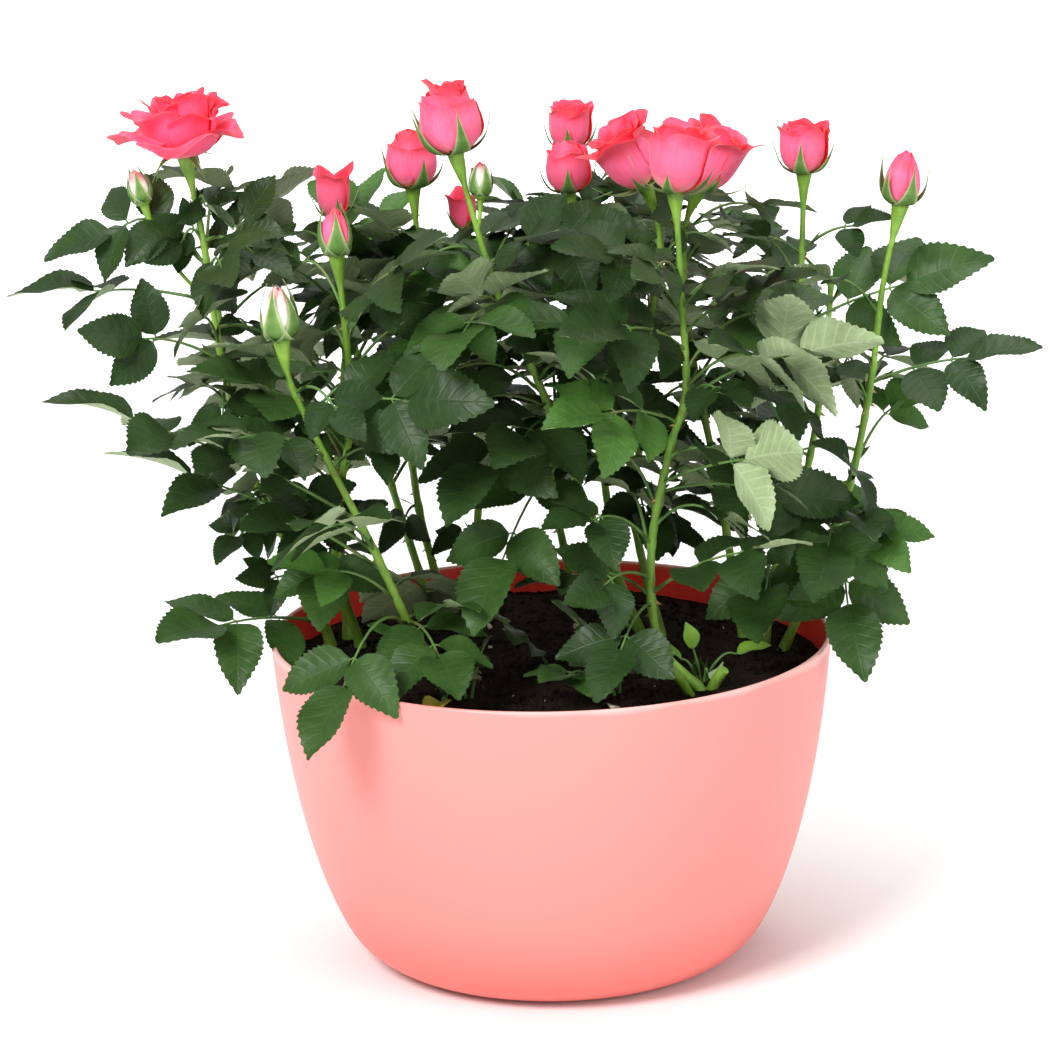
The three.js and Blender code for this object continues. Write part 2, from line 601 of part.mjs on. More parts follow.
for (const cane of canes) {
  const whole = wasm.Manifold.union(cane.parts.map((part) => part.solid));
  const bodies = whole.decompose().sort((a, b) => b.volume() - a.volume());
  addMesh("cane_" + cane.name, geometryOf(cane.limb.solid), COLOURS.cane);
  addMesh("foliage_" + cane.name, geometryOf(bodies[0]), COLOURS.foliage);
  if (cane.flower) addMesh("rose_" + cane.name, geometryOf(cane.flower.solid), COLOURS.bloom);
}

const bush = new THREE.Group();
bush.add(...meshes);
export default bush;
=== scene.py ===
"""A pot-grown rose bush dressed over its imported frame: real leaflets, petals, sepals, bark and soil.

Sizes are in millimetres, as in the part's source, and become metres when a mesh is made.
"""
import math
from collections import namedtuple
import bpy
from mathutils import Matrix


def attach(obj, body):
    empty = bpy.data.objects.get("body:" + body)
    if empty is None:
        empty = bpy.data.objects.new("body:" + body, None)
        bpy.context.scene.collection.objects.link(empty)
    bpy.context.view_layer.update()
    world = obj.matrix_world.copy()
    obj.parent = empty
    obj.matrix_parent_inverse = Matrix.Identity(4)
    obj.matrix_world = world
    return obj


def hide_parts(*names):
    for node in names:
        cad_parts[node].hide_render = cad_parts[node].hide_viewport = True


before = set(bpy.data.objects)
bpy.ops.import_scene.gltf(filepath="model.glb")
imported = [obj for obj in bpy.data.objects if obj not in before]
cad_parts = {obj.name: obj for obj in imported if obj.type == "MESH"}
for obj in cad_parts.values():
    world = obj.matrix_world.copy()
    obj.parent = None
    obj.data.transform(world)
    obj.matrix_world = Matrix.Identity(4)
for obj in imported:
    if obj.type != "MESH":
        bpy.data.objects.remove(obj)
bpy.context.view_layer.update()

from types import SimpleNamespace as Named

import bpy
import numpy as np
from mathutils import Matrix, Quaternion
from mathutils.bvhtree import BVHTree

# ---- sizes
# The pot, soil and canes are as in the part's source. The leaves grow by its rule, but closer together.
POT = Named(height=143, rim=120, base=61, wall=2.2, floor=3)
POT_HEEL = Named(corner=78, radius=88, height=12)
POT_SIDE = Named(heel_handle=6, rim_radius=113, rim_height=51)
SOIL_TOP = 130
GROUND = SOIL_TOP + 0.3  # where the canes' feet stand
CANE = Named(foot=2.2, flare=0.9, flare_height=7, top=1.3)
NECK = Named(length=15, high=2.9)  # the swelling stalk under a bloom
# Where leaves stand on a cane and how they differ. Two numbers are a least value and how much a draw adds.
LEAF = Named(first=5, step=7.5, turn=144, length=86, share=(0.8, 0.35), top_share=0.86, small_share=0.7,
             lift=8, lift_spread=60, roll_spread=70, arch=(6, 10), below_bloom=19, below_tip=4)
# Each try swings the bearing, and an outline leaf's root and roll. Later tries give a smaller leaf.
PLACING = Named(tries=18, whole_tries=11, swing=11, root_step=0.012, root_turns=4, roll_step=4)
LEAFLET = Named(share=0.44, least=18, most=38, side=0.88, angle=58, petiolule=1.6)
# Where leaves may end: an oval in plan, widest above the middle, with a top that slopes down to the right.
CROWN = Named(x=1, y=12, half_x=176, half_y=166, low=142, wide=290, high=329, slope=-0.1, low_share=0.78)
OUTWARD, OUTWARD_INSIDE = 0.8, 0.5  # how far the outline's leaves and the others face out instead of up
UPRIGHT_ABOVE_SOIL = 80  # leaves lower than this lie flatter
SHARE = 45  # how much nearer to another cane a leaf's tip may be than to its own
SEEDS = Named(soil=11, blooms=500, shoots=640, canes=3000, sprouts=7000, reaches=9000)
SEED_STEPS = Named(reach=31, cane=1000, node=20)  # how far apart the seeds of neighbours lie

# Tints of leaf, darkest first; YOUNG is a fresh shoot and YELLOWED an old leaf.
DARK, GREEN, MID, FRESH, YOUNG, YELLOWED = range(6)

# name, foot, head, bare share, bearing of the lowest leaf, bloom, bloom size, bends
CANES = [
    ("left_outer", (-96, 27), (-147, -20, 354), 0.2, 200, "open", 1,
     [(-104, 8, 165), (-124, -6, 212), (-136, -16, 270), (-141, -20, 318)]),
    ("left_rear", (-89, 38), (-89, 30, 319), 0.22, 120, "loose", 0.86, [(-92, 42, 200), (-86, 38, 270)]),
    ("left_inner", (-83, 24), (-85, -42, 316), 0.25, 235, "bud", 1,
     [(-92, 4, 178), (-82, -24, 245), (-83, -38, 290)]),
    ("front_left", (-37, -35), (-107, -70, 287), 0.2, 190, "bud", 1.12,
     [(-54, -43, 150), (-74, -50, 196), (-97, -60, 249), (-105, -68, 272)]),
    ("back_left", (-47, 78), (-55, 20, 333), 0.34, 250, "half", 0.95,
     [(-58, 62, 187), (-60, 45, 240), (-54, 26, 300)]),
    ("back_middle", (-36, 72), (-34, 46, 310), 0.36, 60, "loose", 0.7, [(-30, 60, 200), (-30, 50, 260)]),
    ("centre", (39, 40), (-36, -16, 353), 0.3, 215, "half", 1.1,
     [(26, 28, 168), (14, 14, 200), (-3, -4, 252), (-20, -13, 294)]),
    ("centre_rear", (32, 50), (11, 34, 327), 0.36, 300, "half", 0.85, [(24, 50, 200), (16, 40, 262)]),
    ("rear_middle", (12, 84), (12, 62, 341), 0.34, 80, "half", 0.85, [(2, 84, 190), (10, 74, 260)]),
    ("front_right", (62, -49), (54, -35, 338), 0.19, 330, "wide", 1,
     [(46, -46, 148), (42, -45, 186), (51, -42, 234), (57, -41, 254), (56, -38, 296)]),
    ("right_inner", (48, 34), (43, 16, 333), 0.22, 20, "wide", 1,
     [(36, 38, 190), (38, 34, 240), (49, 22, 298), (48, 19, 317)]),
    ("right_rear", (84, 30), (67, 45, 326), 0.2, 100, "wide", 1,
     [(74, 46, 195), (62, 52, 262), (61, 46, 310)]),
    ("right_upright", (92, 14), (110, 19, 336), 0.18, 260, "half", 0.92,
     [(100, 22, 180), (108, 24, 240), (109, 21, 290)]),
    ("right_outer", (100, 8), (149, 0, 325), 0.26, 350, "bud", 1.2,
     [(115, 8, 165), (128, 4, 203), (137, 0, 250), (142, 0, 292)]),
    ("rear_left", (-54, 88), (-92, 108, 282), 0.33, 40, None, 1, [(-72, 98, 190), (-84, 104, 240)]),
    ("rear_right", (24, 92), (50, 116, 285), 0.33, 160, None, 1, [(40, 104, 190), (46, 112, 240)]),
    ("far_right_rear", (92, 36), (126, 80, 280), 0.33, 10, None, 1, [(112, 58, 190), (122, 72, 240)]),
    ("far_left_rear", (-98, 42), (-146, 62, 292), 0.33, 110, None, 1, [(-122, 56, 195), (-138, 60, 250)]),
]
GROUPS = {
    "left": ("left_outer", "left_rear", "left_inner", "front_left"),
    "centre": ("back_left", "back_middle", "centre", "centre_rear", "front_right"),
    "right": ("right_inner", "right_rear", "right_upright", "right_outer"),
    "rear": ("rear_middle", "rear_left", "rear_right", "far_right_rear", "far_left_rear"),
}
SHOOTS = [("left_outer", 0.74, (-165, -22, 336)), ("centre", 0.86, (-26, -16, 335))]
SHOOT_BUD = 0.74

# The leaves that set the outline: cane, how far up it, tip, pairs of leaflets, roll, arch, tint.
REACHES = [
    ("left_outer", 0.8, (-208, -24, 317), 2, -45, 26, GREEN),
    ("left_outer", 0.74, (-225, -12, 298), 1, 14, 5, DARK),
    ("left_outer", 0.63, (-191, -44, 287), 1, -100, 6, GREEN),
    ("left_outer", 0.76, (-112, -14, 342), 2, 30, 9, GREEN),
    ("left_outer", 0.86, (-165, -34, 312), 2, -50, 14, DARK),
    ("left_outer", 0.9, (-126, -34, 326), 1, -50, 12, GREEN),
    ("left_outer", 0.06, (-166, -50, 158), 2, -38, 6, MID),
    ("left_outer", 0.15, (-131, -20, 173), 1, -62, 6, GREEN),
    ("left_outer", 0.3, (-142, -34, 186), 2, -40, 9, GREEN),
    ("front_left", 0.5, (-201, -77, 267), 3, 18, 9, GREEN),
    ("front_left", 0.36, (-182, -34, 235), 2, 28, 9, GREEN),
    ("front_left", 0.78, (-24, -104, 268), 2, 20, 9, GREEN),
    ("front_left", 0.68, (-150, -118, 258), 2, -20, 9, GREEN),
    ("front_left", 0.2, (-101, -128, 124), 1, 0, 30, MID),
    ("front_left", 0.42, (-98, -128, 226), 2, 0, 9, GREEN),
    ("centre", 0.72, (-42, -112, 286), 2, 0, 9, MID),
    ("centre", 0.8, (44, -40, 322), 2, 10, 9, DARK),
    ("centre", 0.4, (-34, -80, 164), 2, 0, 16, MID),
    ("centre", 0.52, (-42, -84, 214), 2, 0, 9, GREEN),
    ("front_left", 0.22, (-36, -110, 147), 2, 0, 9, MID),
    ("front_right", 0.2, (18, -114, 146), 1, 0, 9, GREEN),
    ("front_right", 0.6, (134, -80, 287), 1, -80, 9, MID),
    ("front_right", 0.44, (102, -110, 248), 1, -75, 3, MID),
    ("front_right", 0.78, (92, -84, 318), 2, 20, 9, DARK),
    ("front_right", 0.7, (8, -104, 296), 2, 0, 9, DARK),
    ("front_right", 0.22, (112, -98, 208), 2, 0, 9, GREEN),
    ("centre", 0.46, (-18, -88, 240), 2, 0, 9, GREEN),
    ("right_outer", 0.62, (206, -22, 269), 2, 38, 4, GREEN),
    ("right_upright", 0.68, (187, 6, 301), 2, 62, 4, MID),
    ("right_outer", 0.3, (147, -52, 182), 2, 40, 9, FRESH),
    ("right_outer", 0.27, (128, -61, 132), 1, 0, 20, MID),
    ("right_upright", 0.84, (145, 0, 321), 1, 60, 5, DARK),
    ("right_upright", 0.5, (84, -70, 262), 2, 0, 9, DARK),
    ("back_left", 0.74, (-82, -10, 322), 1, 130, 9, DARK),
    ("centre_rear", 0.74, (-4, -30, 320), 1, 0, 9, DARK),
    ("back_left", 0.26, (-75, 50, 164), 1, -30, 6, DARK),
    ("back_middle", 0.2, (-52, 50, 167), 1, -45, 6, DARK),
    ("right_inner", 0.24, (70, 30, 170), 1, 30, 6, DARK),
    ("right_rear", 0.16, (113, 20, 156), 1, 30, 6, GREEN),
]

# Canes that no leaf grows across in front: between these shares of their length.
IN_VIEW = [
    ("front_left", 0.1, 0.95), ("centre", 0.08, 0.62), ("front_right", 0.1, 0.96), ("left_inner", 0.75, 0.97),
    ("right_outer", 0.45, 0.96),
]

# Openings where the sky shows through the crown from the front: x, z and radius on the middle plane.
OPENINGS = [
    (-56, 210, 6), (-78, 208, 5), (-26, 198, 9), (-52, 193, 7), (-64, 184, 5), (-8, 198, 4), (63, 186, 6),
    (71, 174, 5), (69, 229, 5), (106, 232, 6), (127, 278, 8), (48, 262, 6), (-160, 303, 9), (-118, 286, 5),
    (87, 302, 5), (135, 306, 8), (-147, 213, 4), (128, 228, 5),
]
BLOOM_MIDDLE, BLOOM_CLEAR = 10, 11  # no leaf hides this much of a bloom from the front
BLOOM_SPACE = [(1, 5), (8, 13), (18, 14), (26, 10)]  # heights and radii that leaves keep out of
# How far in front of a place leaves keep off: from, to and how many rings.
OPENING_REACH, BLOOM_REACH = (-160, 150, 9), (15, 190, 8)
SCREEN = [(0, -9, 2), (0, -70, 14)]  # the two edges of a strip that leaves keep out of, off a shown cane

# Low shoots that lean over the soil: foot, tip, pairs of leaflets, end leaflet, roll, arch, tint.
SPROUTS = [
    ((-40, -52), (-64, -66, 152), 2, 15, 10, 14, MID),
    ((-38, -46), (-74, -56, 162), 2, 14, 0, 10, FRESH),
    ((-36, -54), (-40, -74, 154), 2, 13, 0, 6, FRESH),
    ((-34, -54), (-26, -62, 158), 1, 13, 10, 6, MID),
    ((20, -46), (-4, -86, 147), 1, 22, 10, 10, MID),
    ((26, -50), (8, -80, 152), 0, 20, 60, 8, FRESH),
    ((28, -48), (30, -66, 150), 1, 17, 0, 5, GREEN),
    ((2, -22), (-30, -54, 170), 2, 20, 0, 6, GREEN),
    ((30, -30), (2, -46, 168), 2, 20, 20, 6, MID),
    ((64, -36), (90, -36, 146), 0, 15, -30, 10, YOUNG),
    ((63, -36), (57, -34, 154), 0, 12, 30, 3, YOUNG),
    ((64, -37), (72, -46, 139), 0, 13, 0, 9, YOUNG),
    ((62, -37), (48, -44, 148), 0, 12, 0, 6, YOUNG),
    ((-44, -60), (-50, -84, 134), 0, 18, 40, 5, YELLOWED),
    ((25, -34), (22, -52, 153), 0, 17, -40, 4, YELLOWED),
]

# The camera: metres from the rim's centre, its height angle and its roll. Then, in points of a picture of
# this width, its focal length and how far the rim's centre stands from the picture's middle.
CAMERA = Named(distance=1.8, elevation=15.9, roll=1.1, width=1050, focal=4195, right=25, down=106)

METRES = 0.001  # a millimetre in metres
UP = np.array([0.0, 0.0, 1.0])
ASKEW = (1, 0.2, 0.1)  # a way that no cane or stalk runs, from which their rings of points start


# ---- small mathematics and draws
def vec(*numbers):
    return np.array(numbers, float)


def unit(v):
    return v / np.linalg.norm(v)


def units(rows):
    """The unit vectors of rows of vectors."""
    return rows / np.linalg.norm(rows, axis=-1, keepdims=True)


def lerp(a, b, t):
    return a + (b - a) * t


def turn_about(v, axis, angle):
    axis = unit(axis)
    along = axis * (axis @ v) * (1 - math.cos(angle))
    return v * math.cos(angle) + np.cross(axis, v) * math.sin(angle) + along


def round_turns(sides):
    """The angles of the points of a ring."""
    return np.arange(sides) * 2 * math.pi / sides


def seeded(seed):
    """The same numbers in the same order for the same seed, as in the part's source."""
    state = [seed & 0xFFFFFFFF]

    def draw():
        state[0] = a = (state[0] + 0x6D2B79F5) & 0xFFFFFFFF
        t = ((a ^ (a >> 15)) * (a | 1)) & 0xFFFFFFFF
        t ^= (t + (((t ^ (t >> 7)) * (t | 61)) & 0xFFFFFFFF)) & 0xFFFFFFFF
        return ((t ^ (t >> 14)) & 0xFFFFFFFF) / 4294967296

    return draw


def drawn(spread, draw):
    """A least value with a drawn share of what may be added."""
    return spread[0] + spread[1] * draw()


class Line:
    """A line through points, read by the share of its length."""

    def __init__(self, points):
        self.points = np.asarray(points, float)
        steps = np.linalg.norm(np.diff(self.points, axis=0), axis=1)
        self.marks = np.concatenate([[0], np.cumsum(steps)])
        self.length = self.marks[-1]

    def at(self, share):
        s = np.asarray(share) * self.length
        return np.stack([np.interp(s, self.marks, self.points[:, k]) for k in range(3)], axis=-1)

    def way(self, share, reach=0.004):
        low, high = np.clip(share - reach, 0, 1), np.clip(share + reach, 0, 1)
        return units(self.at(high) - self.at(low))


def smooth_line(points, per_span=24):
    """A centripetal Catmull-Rom line."""
    def blend(a, b, from_t, to_t, t):
        return (to_t - t) / (to_t - from_t) * a + (t - from_t) / (to_t - from_t) * b

    p = [np.asarray(q, float) for q in points]
    p = [2 * p[0] - p[1], *p, 2 * p[-1] - p[-2]]
    out = []
    for a, b, c, d in zip(p, p[1:], p[2:], p[3:]):
        t0 = 0.0
        t1 = t0 + np.linalg.norm(b - a) ** 0.5
        t2 = t1 + np.linalg.norm(c - b) ** 0.5
        t3 = t2 + np.linalg.norm(d - c) ** 0.5
        for t in np.linspace(t1, t2, per_span, endpoint=False):
            ab, bc, cd = blend(a, b, t0, t1, t), blend(b, c, t1, t2, t), blend(c, d, t2, t3, t)
            out.append(blend(blend(ab, bc, t0, t2, t), blend(bc, cd, t1, t3, t), t1, t2, t))
    out.append(p[-2])
    return Line(out)


def bezier(t, *controls):
    """A Bezier curve of any order at the values t."""
    t = np.asarray(t, float)[..., None]
    n = len(controls) - 1
    weights = (math.comb(n, i) * (1 - t) ** (n - i) * t ** i for i in range(n + 1))
    return sum(weight * np.asarray(c, float) for weight, c in zip(weights, controls))


def camera_place():
    """Where the camera stands, in metres."""
    e = math.radians(CAMERA.elevation)
    return vec(0, -CAMERA.distance * math.cos(e), POT.height * METRES + CAMERA.distance * math.sin(e))


# ---- meshes
class Pile:
    """Gathers the faces of one joined piece: points, faces, a material number a face and UVs a point."""

    def __init__(self):
        self.points, self.faces, self.slots, self.uvs = [], [], [], []
        self.count = 0

    def add(self, points, faces, slot=0, uv=None):
        points = np.asarray(points, float).reshape(-1, 3)
        faces = np.asarray(faces, int)
        self.points.append(points)
        self.faces.append(faces + self.count)
        self.slots.append(np.broadcast_to(slot, len(faces)))
        self.uvs.append(np.zeros((len(points), 2)) if uv is None else np.asarray(uv, float).reshape(-1, 2))
        self.count += len(points)

    def all_points(self):
        return np.concatenate(self.points)

    def all_faces(self):
        return [face for block in self.faces for face in block.tolist()]

    def build(self, name, materials):
        mesh = bpy.data.meshes.new(name)
        faces = self.all_faces()
        mesh.from_pydata((self.all_points() * METRES).tolist(), [], faces)
        mesh.polygons.foreach_set("material_index", np.concatenate(self.slots).astype(np.int32))
        mesh.polygons.foreach_set("use_smooth", np.full(len(faces), True))
        layer = mesh.uv_layers.new(name="shape")
        corners = np.empty(len(mesh.loops), np.int32)
        mesh.loops.foreach_get("vertex_index", corners)
        layer.data.foreach_set("uv", np.concatenate(self.uvs)[corners].astype(np.float32).ravel())
        for material in materials:
            mesh.materials.append(material)
        mesh.update()
        piece = add_object(name, mesh)
        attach(piece, "root")
        return piece


def add_object(name, data):
    thing = bpy.data.objects.new(name, data)
    bpy.context.scene.collection.objects.link(thing)
    return thing


def grid_faces(rows, columns, closed=False, flip=False):
    """Quads between the points of a grid, row by row."""
    span = columns if closed else columns - 1
    r, c = np.meshgrid(np.arange(rows - 1), np.arange(span), indexing="ij")
    r, c = r.ravel(), c.ravel()
    right = (c + 1) % columns
    near, far = r * columns, (r + 1) * columns
    quads = np.stack([near + c, near + right, far + right, far + c], 1)
    return quads[:, ::-1] if flip else quads


def tube(pile, points, radii, sides, slot=0, side=None, level_foot=False):
    """A round bar along points, with closed ends."""
    points = np.asarray(points, float)
    radii = np.broadcast_to(radii, len(points))
    ways = units(np.gradient(points, axis=0))
    if level_foot:
        ways[0] = UP
    across = np.asarray(ASKEW if side is None else side, float)
    across = units(across - ways * (ways @ across)[:, None])
    out = np.cross(ways, across)
    turns = round_turns(sides)
    rings = (points[:, None] + radii[:, None, None] * (across[:, None] * np.cos(turns)[None, :, None]
             + out[:, None] * np.sin(turns)[None, :, None]))
    lengths = np.concatenate([[0], np.cumsum(np.linalg.norm(np.diff(points, axis=0), axis=1))])
    uv = np.stack(np.broadcast_arrays(turns[None] / (2 * math.pi), lengths[:, None] * 0.01), -1)
    pile.add(rings, grid_faces(len(points), sides, closed=True), slot, uv)
    for ring, end, flip in ((rings[0], points[0], True), (rings[-1], points[-1], False)):
        fan = [(k, (k + 1) % sides, sides) for k in range(sides)]
        fan = [f[::-1] for f in fan] if flip else fan
        pile.add(np.vstack([ring, end]), fan, slot)


def lathe(pile, profile, sides, slot=0, place=None):
    """A turned shape round +Z from (radius, height) pairs, listed from below outwards and up."""
    profile = np.asarray(profile, float)
    turns = round_turns(sides)
    radius, height = profile[:, :1], profile[:, 1:]
    points = np.stack([radius * np.cos(turns), radius * np.sin(turns), height + 0 * turns], -1).reshape(-1, 3)
    shares = np.linspace(0, 1, len(profile))[:, None]
    uv = np.stack(np.broadcast_arrays(turns[None] / (2 * math.pi), shares), -1)
    pile.add(place(points) if place else points, grid_faces(len(profile), sides, closed=True), slot, uv)


# ---- materials
def rgb(hex_colour):
    """A screen colour as Blender's linear numbers."""
    values = [int(hex_colour[i:i + 2], 16) / 255 for i in (0, 2, 4)]
    return tuple(v / 12.92 if v <= 0.04045 else ((v + 0.055) / 1.055) ** 2.4 for v in values) + (1.0,)


class Shader:
    """A material whose nodes are added one call each."""

    def __init__(self, name, roughness, specular=0.5, coat=0.0, sheen=0.0, subsurface=0.0):
        self.material = bpy.data.materials.new(name)
        self.material.use_nodes = True
        self.nodes = self.material.node_tree.nodes
        self.links = self.material.node_tree.links
        self.main = self.nodes["Principled BSDF"]
        self.put({
            "Roughness": roughness, "Specular IOR Level": specular,
            "Coat Weight": coat, "Coat Roughness": 0.3, "Sheen Weight": sheen,
            "Subsurface Weight": subsurface, "Subsurface Scale": 0.004,
        })

    def put(self, values):
        """Sets numbers and colours that are the same all over the surface."""
        for key, value in values.items():
            self.main.inputs[key].default_value = value

    def node(self, kind, inputs=(), **settings):
        node = self.nodes.new("ShaderNode" + kind)
        for key, value in settings.items():
            setattr(node, key, value)
        for key, value in dict(inputs).items():
            socket = node.inputs[key]
            if isinstance(value, bpy.types.NodeSocket):
                self.links.new(value, socket)
            else:
                socket.default_value = value
        return node

    def maths(self, operation, a, b=0.0, c=0.0, clamp=False):
        return self.node("Math", {0: a, 1: b, 2: c}, operation=operation, use_clamp=clamp).outputs[0]

    def times(self, a, b):
        return self.maths("MULTIPLY", a, b)

    def place(self):
        """A point's place on the object, in metres."""
        return self.node("TexCoord").outputs["Object"]

    def split(self, vector):
        return self.node("SeparateXYZ", {"Vector": vector}).outputs

    def shape(self):
        """The two numbers of the mesh's own UV layer."""
        return self.split(self.node("UVMap", uv_map="shape").outputs[0])[:2]

    def off_middle(self, across):
        """0 on the middle line of a blade and 1 on its edges."""
        return self.maths("ABSOLUTE", self.maths("MULTIPLY_ADD", across, 2.0, -1.0))

    def span(self, value, start, end):
        """0 where the value is at the start and 1 where it is at the end."""
        return self.node("MapRange", {"Value": value, "From Min": start, "From Max": end}).outputs[0]

    def noise(self, scale, detail=3.0, roughness=0.55, vector=None):
        inputs = {"Scale": scale, "Detail": detail, "Roughness": roughness, "Vector": vector or self.place()}
        return self.node("TexNoise", inputs).outputs["Fac"]

    def ramp(self, factor, stops):
        node = self.node("ValToRGB", {"Fac": factor})
        elements = node.color_ramp.elements
        while len(elements) < len(stops):
            elements.new(0.5)
        for element, (place, colour) in zip(elements, stops):
            element.position = place
            element.color = rgb(colour) if isinstance(colour, str) else (*colour, 1)
        return node.outputs["Color"]

    def mix(self, factor, a, b, blend="MIX"):
        node = self.node("Mix", {0: factor, 6: a, 7: b}, data_type="RGBA", blend_type=blend)
        return node.outputs[2]

    def shade(self, strength, base, tone):
        """A colour made darker and lighter by a tone."""
        return self.mix(strength, base, self.mix(1.0, base, tone, "MULTIPLY"))

    def colour(self, socket):
        self.links.new(socket, self.main.inputs["Base Color"])

    def roughness(self, factor, low, high):
        node = self.node("MapRange", {"Value": factor, "To Min": low, "To Max": high})
        self.links.new(node.outputs[0], self.main.inputs["Roughness"])

    def bump(self, height, distance, strength=1.0):
        node = self.node("Bump", {"Height": height, "Distance": distance * METRES, "Strength": strength})
        self.links.new(node.outputs["Normal"], self.main.inputs["Normal"])


def mottled_material(name, roughness, specular, scale, stops, bump=None):
    """A skin whose colour wanders by one noise, with a bump of its own scale, distance and strength."""
    shader = Shader(name, roughness, specular)
    shader.colour(shader.ramp(shader.noise(scale), stops))
    if bump:
        shader.bump(shader.noise(bump[0]), *bump[1:])
    return shader.material


def leaf_veins(shader):
    """How near a point is to a vein, 1 on it: a midrib and side veins that slant to the edge."""
    along, across = shader.shape()
    off = shader.off_middle(across)
    midrib = shader.maths("SUBTRACT", 1.0, shader.times(off, 14.0))
    slant = shader.maths("MULTIPLY_ADD", along, 7.5, shader.times(off, -1.5))
    side = shader.times(shader.maths("PINGPONG", slant, 0.5), 7.0)
    side = shader.maths("SUBTRACT", 1.0, side)
    return shader.maths("MAXIMUM", midrib, side, clamp=True)


def leaf_material(name, dark, light, vein, roughness, bump_sign=-1.0, specular=0.22, veined=0.12):
    shader = Shader(name, roughness, specular)
    veins = leaf_veins(shader)
    patches = shader.noise(70, 4)
    grain = shader.noise(900, 3)
    blade = shader.ramp(patches, [(0.32, dark), (0.7, light)])
    blade = shader.shade(0.5, blade, shader.ramp(grain, [(0.35, (0.8, 0.8, 0.8)), (0.7, (1.12, 1.12, 1.12))]))
    shader.colour(shader.mix(shader.times(veins, veined), blade, rgb(vein)))
    height = shader.maths("MULTIPLY_ADD", veins, bump_sign, shader.times(grain, 0.5))
    shader.bump(height, 0.22, 0.45)
    shader.roughness(patches, roughness - 0.08, roughness + 0.1)
    return shader.material


LEAF_TOPS = [
    leaf_material("leaf_top_dark", "1c2f12", "273e1a", "3c5430", 0.42, specular=0.12),
    leaf_material("leaf_top_green", "213717", "2c441e", "465e34", 0.4),
    leaf_material("leaf_top_mid", "2c461c", "395826", "56743c", 0.42),
    leaf_material("leaf_top_fresh", "3a5e24", "4a7030", "6f9452", 0.42),
    leaf_material("leaf_top_young", "6a982e", "86b244", "a8c86c", 0.4),
    leaf_material("leaf_top_yellowed", "a89a30", "c8b850", "d8cc80", 0.5),
]
LEAF_BACKS = [
    leaf_material("leaf_back", "869a6c", "9eb286", "bccaa4", 0.6, 1.0, 0.3, 0.4),
    leaf_material("leaf_back_fresh", "a0b088", "bac8a2", "d2deba", 0.6, 1.0, 0.3, 0.4),
]


def back_slot(tint):
    return len(LEAF_TOPS) + (1 if tint >= FRESH else 0)


def stem_material():
    shader = Shader("green_cane", 0.46, 0.45)
    blotch = shader.noise(60, 4)
    stretched = shader.node("Mapping", {"Vector": shader.place(), "Scale": (900, 900, 120)}).outputs[0]
    streak = shader.noise(1.0, 3, vector=stretched)
    base = shader.ramp(blotch, [(0.3, "628e2a"), (0.55, "7fa83c"), (0.75, "9ac452")])
    lines = shader.ramp(streak, [(0.35, (0.78, 0.8, 0.74)), (0.65, (1.1, 1.1, 1.05))])
    shader.colour(shader.shade(0.8, base, lines))
    shader.bump(streak, 0.25, 0.8)
    shader.roughness(blotch, 0.38, 0.56)
    return shader.material


def petal_material(name, foot, body, rim, inside=False, flush="ff70a4", painted_glow=0.09):
    """Petals run from a pale foot through the body's colour to the rim, with fine lengthwise veins. A faint
    red glow is painted in for light shining through them.
    """
    shader = Shader(name, 0.5, 0.3, sheen=0.15, subsurface=0.15)
    across, along = shader.shape()
    patches = shader.noise(120, 4)
    up = shader.maths("MULTIPLY_ADD", patches, 0.5, shader.maths("ADD", along, -0.25))
    base = shader.ramp(up, [(0.02, foot), (0.26 if inside else 0.34, body), (0.66, body), (0.94, rim)])
    place = shader.node("CombineXYZ", {0: shader.times(across, 34.0),
                                       1: shader.times(along, 2.5)})
    veins = shader.noise(1.0, 3, vector=place.outputs[0])
    blush = shader.times(shader.span(shader.noise(75, 2), 0.45, 0.62), 0.4)
    base = shader.mix(blush, base, rgb(flush))
    lines = shader.ramp(veins, [(0.35, (0.86, 0.8, 0.82)), (0.7, (1.1, 1.1, 1.1))])
    shader.colour(shader.shade(0.6, base, lines))
    shader.bump(veins, 0.22, 0.5)
    # Painted glow: a faint red emission standing in for light that shines through the petals.
    shader.put({"Emission Color": rgb("ff1420"), "Emission Strength": painted_glow})
    return shader.material


PETALS = {
    "open": (petal_material("petal_rose_front", "f4606c", "f23c5e", "ea2c4c", True),
             petal_material("petal_rose_back", "f8909a", "f8587e", "f03c58")),
    "coral": (petal_material("petal_coral_front", "f07078", "f03c50", "ea3048", True),
              petal_material("petal_coral_back", "f8bca8", "fb6a90", "f2445c")),
    "pale": (petal_material("petal_pale_front", "e8e0c0", "eaa0a4", "d83c5c", True, "f0e4da", 0),
             petal_material("petal_pale_back", "d8dcb0", "eee8d6", "d8405a", False, "f4efe2", 0)),
}


def sepal_material():
    shader = Shader("sepal", 0.6, 0.3)
    off = shader.off_middle(shader.shape()[1])
    base = shader.ramp(off, [(0.0, "4c7430"), (0.6, "5f863e"), (0.96, "c2cf9a")])
    shader.colour(shader.mix(0.35, base, shader.ramp(shader.noise(300), [(0.3, "44702c"), (0.7, "8aa65c")])))
    shader.bump(shader.noise(2000), 0.15, 0.6)
    return shader.material


# Specks of dirt low on the pot: cells in a metre, a speck's radius in its cell, the scale and rarity of the
# groups that they come in, and the heights in metres between which they grow from none to full strength.
DIRT = Named(cells=55.0, radius=0.045, groups=23, rarity=0.6, fades=(0.055, 0.005), strength=0.75)


